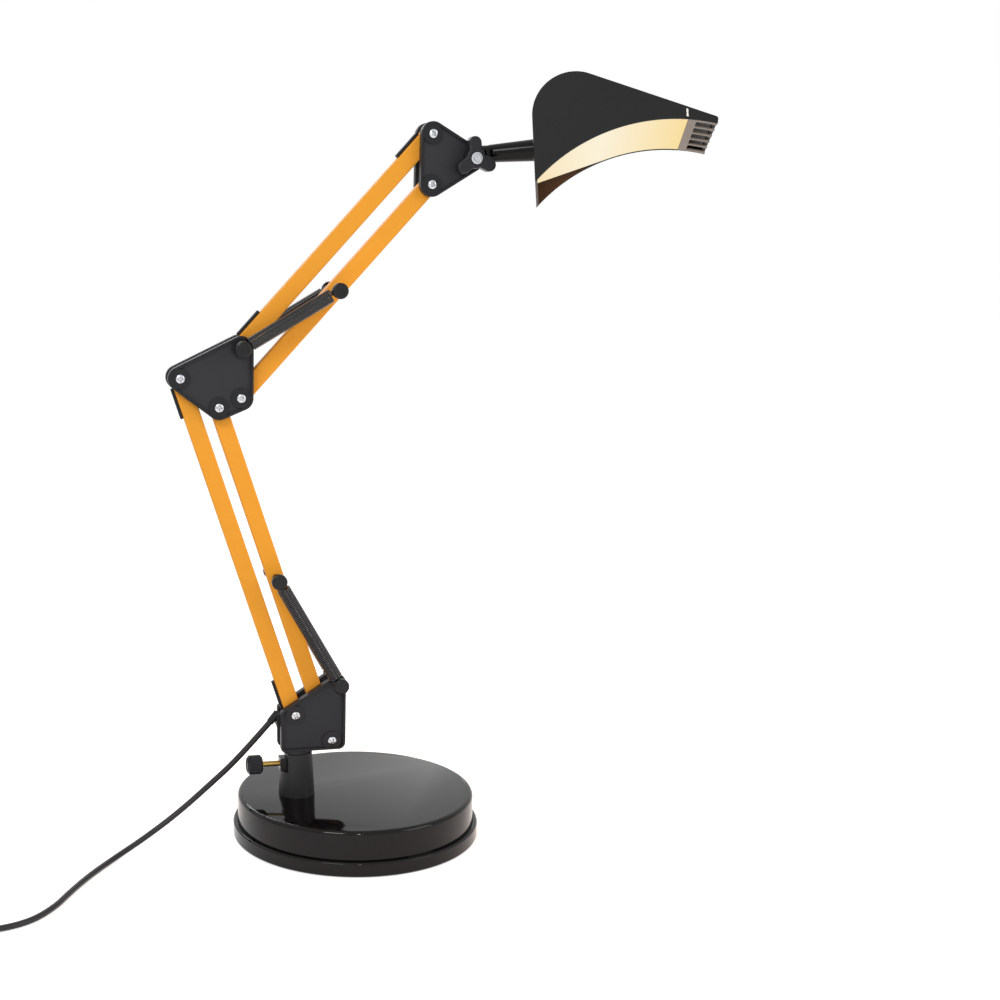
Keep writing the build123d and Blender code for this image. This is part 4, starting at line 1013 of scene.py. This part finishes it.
class LAMP_OT_tilt_bolt(Operator):
    """Tilt bolt with rings turned in its head"""

    bl_idname = "lamp.tilt_bolt"
    bl_label = "Tilt bolt"

    head_height = 1.3 * MM
    shank_radius = 3.0 * MM
    groove = 0.7 * MM
    rim_round = 0.25 * MM
    ring_drop = 0.1 * MM

    def execute(self, context):
        low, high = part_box("tilt_bolt")
        depth = high.y - low.y
        r = (high.z - low.z) / 2
        groove = self.groove
        profile = [
            (0, -depth),
            (self.shank_radius, -depth),
            (self.shank_radius, -self.head_height),
            (r, -self.head_height),
            (r, -self.rim_round),
            (0.93 * r, 0),
            (0.76 * r, 0),
            (0.7 * r, -groove),
            (0.56 * r, -groove),
            (0.5 * r, -self.ring_drop),
            (0.27 * r, 0),
            (0.21 * r, -groove),
            (0, -groove),
        ]
        mesh = turned(profile, 40)
        centre = Vector(((low.x + high.x) / 2, low.y, (low.z + high.z) / 2))
        mesh.transform(Matrix.Translation(centre) @ Matrix.Rotation(math.pi / 2, 4, "X"))
        body = NODE_BODY["tilt_bolt"]
        new_piece("ringed_tilt_bolt", smoothed(mesh, 30), body, "fastener", "tilt_bolt")
        return {"FINISHED"}


class LAMP_OT_thumb_knob(Operator):
    """Knurled knob of the thumb screw"""

    bl_idname = "lamp.thumb_knob"
    bl_label = "Thumb screw knob"

    ridge = 0.55 * MM
    rear_chamfer = 1.0 * MM
    front_chamfer = 1.4 * MM
    # The dish in the front face: how far in from the core its rim ends, and the slope and depth behind that
    rim_inner = 2.2 * MM
    rim_slope = 0.4 * MM
    dish_depth = 0.5 * MM

    def knob_tree(self):
        """Half-round ridges on a ring, joined to the turned core."""
        tree, given, result = new_tree("knurled_knob", sizes=("Ring", "Ridge", "Length"), counts=("Knurls",))
        size = given.outputs
        ring = add_node(
            tree, "GeometryNodeMeshCircle", links={"Vertices": size["Knurls"], "Radius": size["Ring"]}
        )
        ridge = add_node(
            tree,
            "GeometryNodeMeshCylinder",
            links={"Vertices": 8, "Radius": size["Ridge"], "Depth": size["Length"]},
        )
        ridges = add_node(
            tree,
            "GeometryNodeInstanceOnPoints",
            links={"Points": ring.outputs["Mesh"], "Instance": ridge.outputs["Mesh"]},
        )
        whole = add_node(tree, "GeometryNodeJoinGeometry")
        tree.links.new(size["Geometry"], whole.inputs["Geometry"])
        tree.links.new(ridges.outputs["Instances"], whole.inputs["Geometry"])
        return ended(tree, whole.outputs["Geometry"], size["Finish"], result)

    def execute(self, context):
        low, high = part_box("clamp_knob")
        length = high.x - low.x
        core = (high.z - low.z) / 2 - self.ridge
        front = length / 2
        dish = front - self.dish_depth
        profile = [
            (0, -front),
            (core - self.rear_chamfer, -front),
            (core, -front + self.rear_chamfer),
            (core, front - self.front_chamfer),
            (core - self.front_chamfer, front),
            (core - self.rim_inner, front),
            (core - self.rim_inner - self.rim_slope, dish),
            (0, dish),
        ]
        mesh = grown(
            self.knob_tree(),
            turned(profile, 60),
            {
                "Knurls": context.scene.lamp_sizes.knurls,
                "Ring": core,
                "Ridge": self.ridge,
                "Length": length - 2 * self.front_chamfer,
                "Finish": SLOT_MATERIALS["knob"],
            },
        )
        mesh.transform(Matrix.Translation((low + high) / 2) @ Matrix.Rotation(-math.pi / 2, 4, "Y"))
        new_piece("knurled_thumb_knob", smoothed(mesh), "clamp_screw", "knob", "clamp_knob")
        return {"FINISHED"}


class LAMP_OT_rounded_solids(Operator):
    """Solids that show, redrawn with rounded edges and smooth curves"""

    bl_idname = "lamp.rounded_solids"
    bl_label = "Rounded solids"

    # Angles in degrees: faces flatter than the first are one, shading breaks over the second, and edges
    # sharper than the third are rounded
    flat_angle = 0.6
    smooth_angle = 32.0
    round_angle = 38.0

    # Solids in the base's slot that are moulded and not enamelled
    satin = ("post_socket", "post_spigot")

    # How many edge radii each solid's corners take
    solids = {
        "base_ring": 1.0,
        "base_cover": 0.6,
        "post_socket": 1.0,
        "post_spigot": 1.0,
        "clamp_nut": 0.7,
        "clamp_stud": 0.5,
        "base_bracket_near": 1.6,
        "base_bracket_far": 1.6,
        "base_nuts": 0.7,
        "base_spring_studs": 0.6,
        "cord_relief": 1.0,
        "lower_rear_bar": 0.5,
        "lower_front_bar": 0.5,
        "lower_lead_tails": 1.0,
        "lower_spring_pin": 0.6,
        "elbow_plate_near": 1.6,
        "elbow_plate_far": 1.6,
        "elbow_nuts": 0.7,
        "elbow_spring_pin": 0.6,
        "upper_rear_bar": 0.5,
        "upper_front_bar": 0.5,
        "upper_lead_tails": 1.0,
        "upper_spring_pin": 0.6,
        "head_plate_near": 1.6,
        "head_plate_far": 1.6,
        "head_nuts": 0.7,
        "tilt_knob": 0.6,
        "knuckle": 1.0,
        "head_stem": 1.0,
        "shade": 1.4,
        "diffuser": 0.6,
        "tip_cap": 1.2,
        "tip_trim": 0.4,
        "tip_grille": 1.0,
        "power_button": 0.6,
    }

    def execute(self, context):
        radius = context.scene.lamp_sizes.edge_radius
        for node, share in self.solids.items():
            mesh = NODES[node].data.copy()
            shape = bmesh.new()
            shape.from_mesh(mesh)
            bmesh.ops.remove_doubles(shape, verts=shape.verts, dist=2 * WELD)
            flat = math.radians(self.flat_angle)
            bmesh.ops.dissolve_limit(shape, angle_limit=flat, verts=shape.verts, edges=shape.edges)
            shape.to_mesh(mesh)
            shape.free()
            if "custom_normal" in mesh.attributes:
                mesh.attributes.remove(mesh.attributes["custom_normal"])
            smoothed(mesh, self.smooth_angle)
            piece = new_piece(node + "_rounded", mesh, NODE_BODY[node], NODE_SLOT[node], node)
            if node in self.satin:
                mesh.materials[0] = SLOT_MATERIALS["post_satin"]
            bevel = piece.modifiers.new("Rounding", "BEVEL")
            bevel.width = radius * share
            bevel.segments = 2
            bevel.limit_method = "ANGLE"
            bevel.angle_limit = math.radians(self.round_angle)
            bevel.harden_normals = True
        self.shield_diffuser()
        return {"FINISHED"}

    def shield_diffuser(self):
        """Keeps the hood's glow off the diffuser that it stands for."""
        skipped = bpy.data.collections.new("unlit_by_glow")
        skipped.objects.link(bpy.data.objects["diffuser_rounded"])
        skipped.collection_objects[0].light_linking.link_state = "EXCLUDE"
        bpy.data.objects["hood_glow"].light_linking.receiver_collection = skipped


class LAMP_PT_pieces(Panel):
    """The lamp's pieces, and the sizes and colours that a user would change"""

    bl_label = "Lamp"
    bl_idname = "LAMP_PT_pieces"
    bl_space_type = "VIEW_3D"
    bl_region_type = "UI"
    bl_category = "Lamp"

    def draw(self, context):
        for group in (context.scene.lamp_sizes, context.scene.lamp_colours):
            box = self.layout.box()
            for key in group.bl_rna.properties.keys():
                if key not in ("rna_type", "name"):
                    box.prop(group, key)
        for operator in OPERATORS:
            self.layout.operator(operator.bl_idname)


OPERATORS = (
    LAMP_OT_stage,
    LAMP_OT_finishes,
    LAMP_OT_cord,
    LAMP_OT_springs,
    LAMP_OT_screws,
    LAMP_OT_tilt_bolt,
    LAMP_OT_thumb_knob,
    LAMP_OT_rounded_solids,
)
CLASSES = (LampSizes, LampColours, *OPERATORS, LAMP_PT_pieces)


def register():
    for made in CLASSES:
        bpy.utils.register_class(made)
    bpy.types.Scene.lamp_sizes = PointerProperty(type=LampSizes)
    bpy.types.Scene.lamp_colours = PointerProperty(type=LampColours)


def unregister():
    del bpy.types.Scene.lamp_colours
    del bpy.types.Scene.lamp_sizes
    for made in reversed(CLASSES):
        bpy.utils.unregister_class(made)


def main():
    register()
    bpy.ops.lamp.stage()
    bpy.ops.lamp.finishes()
    bpy.ops.lamp.cord()
    bpy.ops.lamp.springs()
    bpy.ops.lamp.screws()
    bpy.ops.lamp.tilt_bolt()
    bpy.ops.lamp.thumb_knob()
    bpy.ops.lamp.rounded_solids()


if __name__ == "__main__":
    main()
